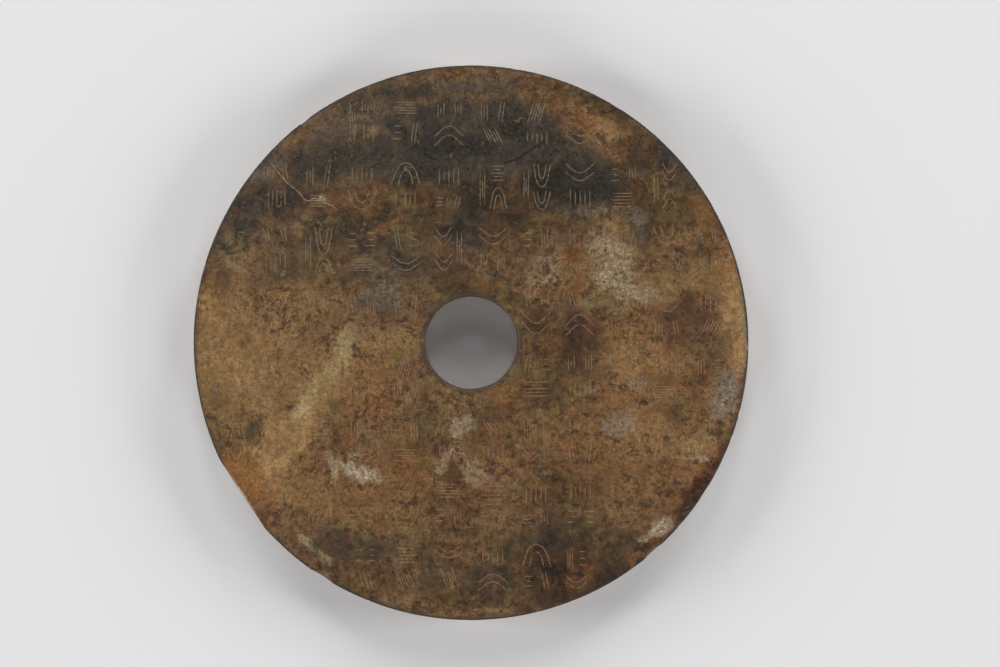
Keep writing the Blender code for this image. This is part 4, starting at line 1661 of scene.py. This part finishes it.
@dataclass(frozen=True)
class Lamp:
    """One square soft light that faces the disc from a side and a height in degrees."""

    name: str
    azimuth_deg: float
    elevation_deg: float
    distance: float
    size: float
    power: float

    def hang(self) -> None:
        """Put the light in the scene."""
        azimuth = math.radians(self.azimuth_deg)
        elevation = math.radians(self.elevation_deg)
        level = self.distance * math.cos(elevation)
        height = self.distance * math.sin(elevation)
        place = Vector((level * math.cos(azimuth), level * math.sin(azimuth), height))
        light = bpy.data.lights.new(self.name, "AREA")
        light.shape = "SQUARE"
        light.size = self.size
        light.energy = self.power
        lamp = bpy.data.objects.new(self.name, light)
        lamp.location = place
        lamp.rotation_euler = (-place).to_track_quat("-Z", "Y").to_euler()
        bpy.context.scene.collection.objects.link(lamp)


@dataclass
class Studio:
    """Pale floor, soft lights and the camera above the disc."""

    floor_size: float = 6.0
    floor_drop: float = 0.0002
    floor_colour: Colour = (0.75, 0.75, 0.76)
    floor_roughness: float = 0.95
    floor_gloss: float = 0.1
    lens: float = 85.0
    sensor_width: float = 36.0
    room_light: float = 0.113
    lamps: tuple[Lamp, ...] = (
        Lamp("right_light", 0.0, 12.0, 4.0, 1.2, 115.0),
        Lamp("upper_right_light", 60.0, 12.0, 4.0, 1.2, 100.0),
        Lamp("upper_left_light", 120.0, 12.0, 4.0, 1.2, 95.0),
        Lamp("left_light", 180.0, 12.0, 4.0, 1.2, 121.0),
        Lamp("lower_left_light", 240.0, 12.0, 4.0, 1.2, 78.0),
        Lamp("lower_right_light", 300.0, 12.0, 4.0, 1.2, 76.0),
        Lamp("top_light", 90.0, 26.0, 4.0, 1.2, 46.0),
        Lamp("front_light", 270.0, 26.0, 4.0, 1.2, 19.0),
    )

    def floor(self) -> bpy.types.Object:
        """Make the floor.

        Returns:
            The floor.
        """
        bm = bmesh.new()
        place = Matrix.Translation((0.0, 0.0, -self.floor_drop))
        bmesh.ops.create_grid(bm, x_segments=1, y_segments=1, size=self.floor_size / 2.0, matrix=place)
        mesh = bpy.data.meshes.new("studio_floor")
        bm.to_mesh(mesh)
        bm.free()
        floor = bpy.data.objects.new("studio_floor", mesh)
        bpy.context.scene.collection.objects.link(floor)
        material = bpy.data.materials.new("pale_paper")
        material.use_nodes = True
        shader = material.node_tree.nodes["Principled BSDF"]
        shader.inputs["Base Color"].default_value = (*self.floor_colour, 1.0)
        shader.inputs["Roughness"].default_value = self.floor_roughness
        shader.inputs["Specular IOR Level"].default_value = self.floor_gloss
        mesh.materials.append(material)
        return floor

    def ambient(self) -> None:
        """Fill the room with even light."""
        world = bpy.data.worlds.new("studio_room")
        world.use_nodes = True
        background = world.node_tree.nodes["Background"]
        background.inputs["Color"].default_value = (1.0, 1.0, 1.0, 1.0)
        background.inputs["Strength"].default_value = self.room_light
        bpy.context.scene.world = world

    def camera(self) -> None:
        """Point the camera straight down, with the disc where the photograph has it."""
        data = bpy.data.cameras.new("overhead_camera")
        data.lens = self.lens
        data.sensor_width = self.sensor_width
        centre = PHOTO.place(PHOTO.width / 2.0, PHOTO.height / 2.0)
        distance = PHOTO.width * PHOTO.pixel * self.lens / self.sensor_width
        camera = bpy.data.objects.new("overhead_camera", data)
        camera.location = (centre.x, centre.y, THICKNESS + distance)
        bpy.context.scene.collection.objects.link(camera)
        bpy.context.scene.camera = camera

    def build(self) -> None:
        """Set up the whole studio."""
        self.floor()
        for lamp in self.lamps:
            lamp.hang()
        self.ambient()
        self.camera()
        bpy.context.scene.view_settings.view_transform = "Standard"


def main() -> None:
    """Build the disc and the studio, and report each piece."""
    logging.basicConfig(level=logging.INFO, format="%(message)s")
    log = logging.getLogger("bi_disc")
    disc = DiscBody().build()
    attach(disc, "root")
    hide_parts(NODE)
    disc.data.calc_loop_triangles()
    log.info("%s: %d triangles", disc.name, len(disc.data.loop_triangles))
    Studio().build()
    log.info("studio: floor, soft lights and the camera")
    bpy.context.view_layer.update()


if __name__ == "__main__":
    main()
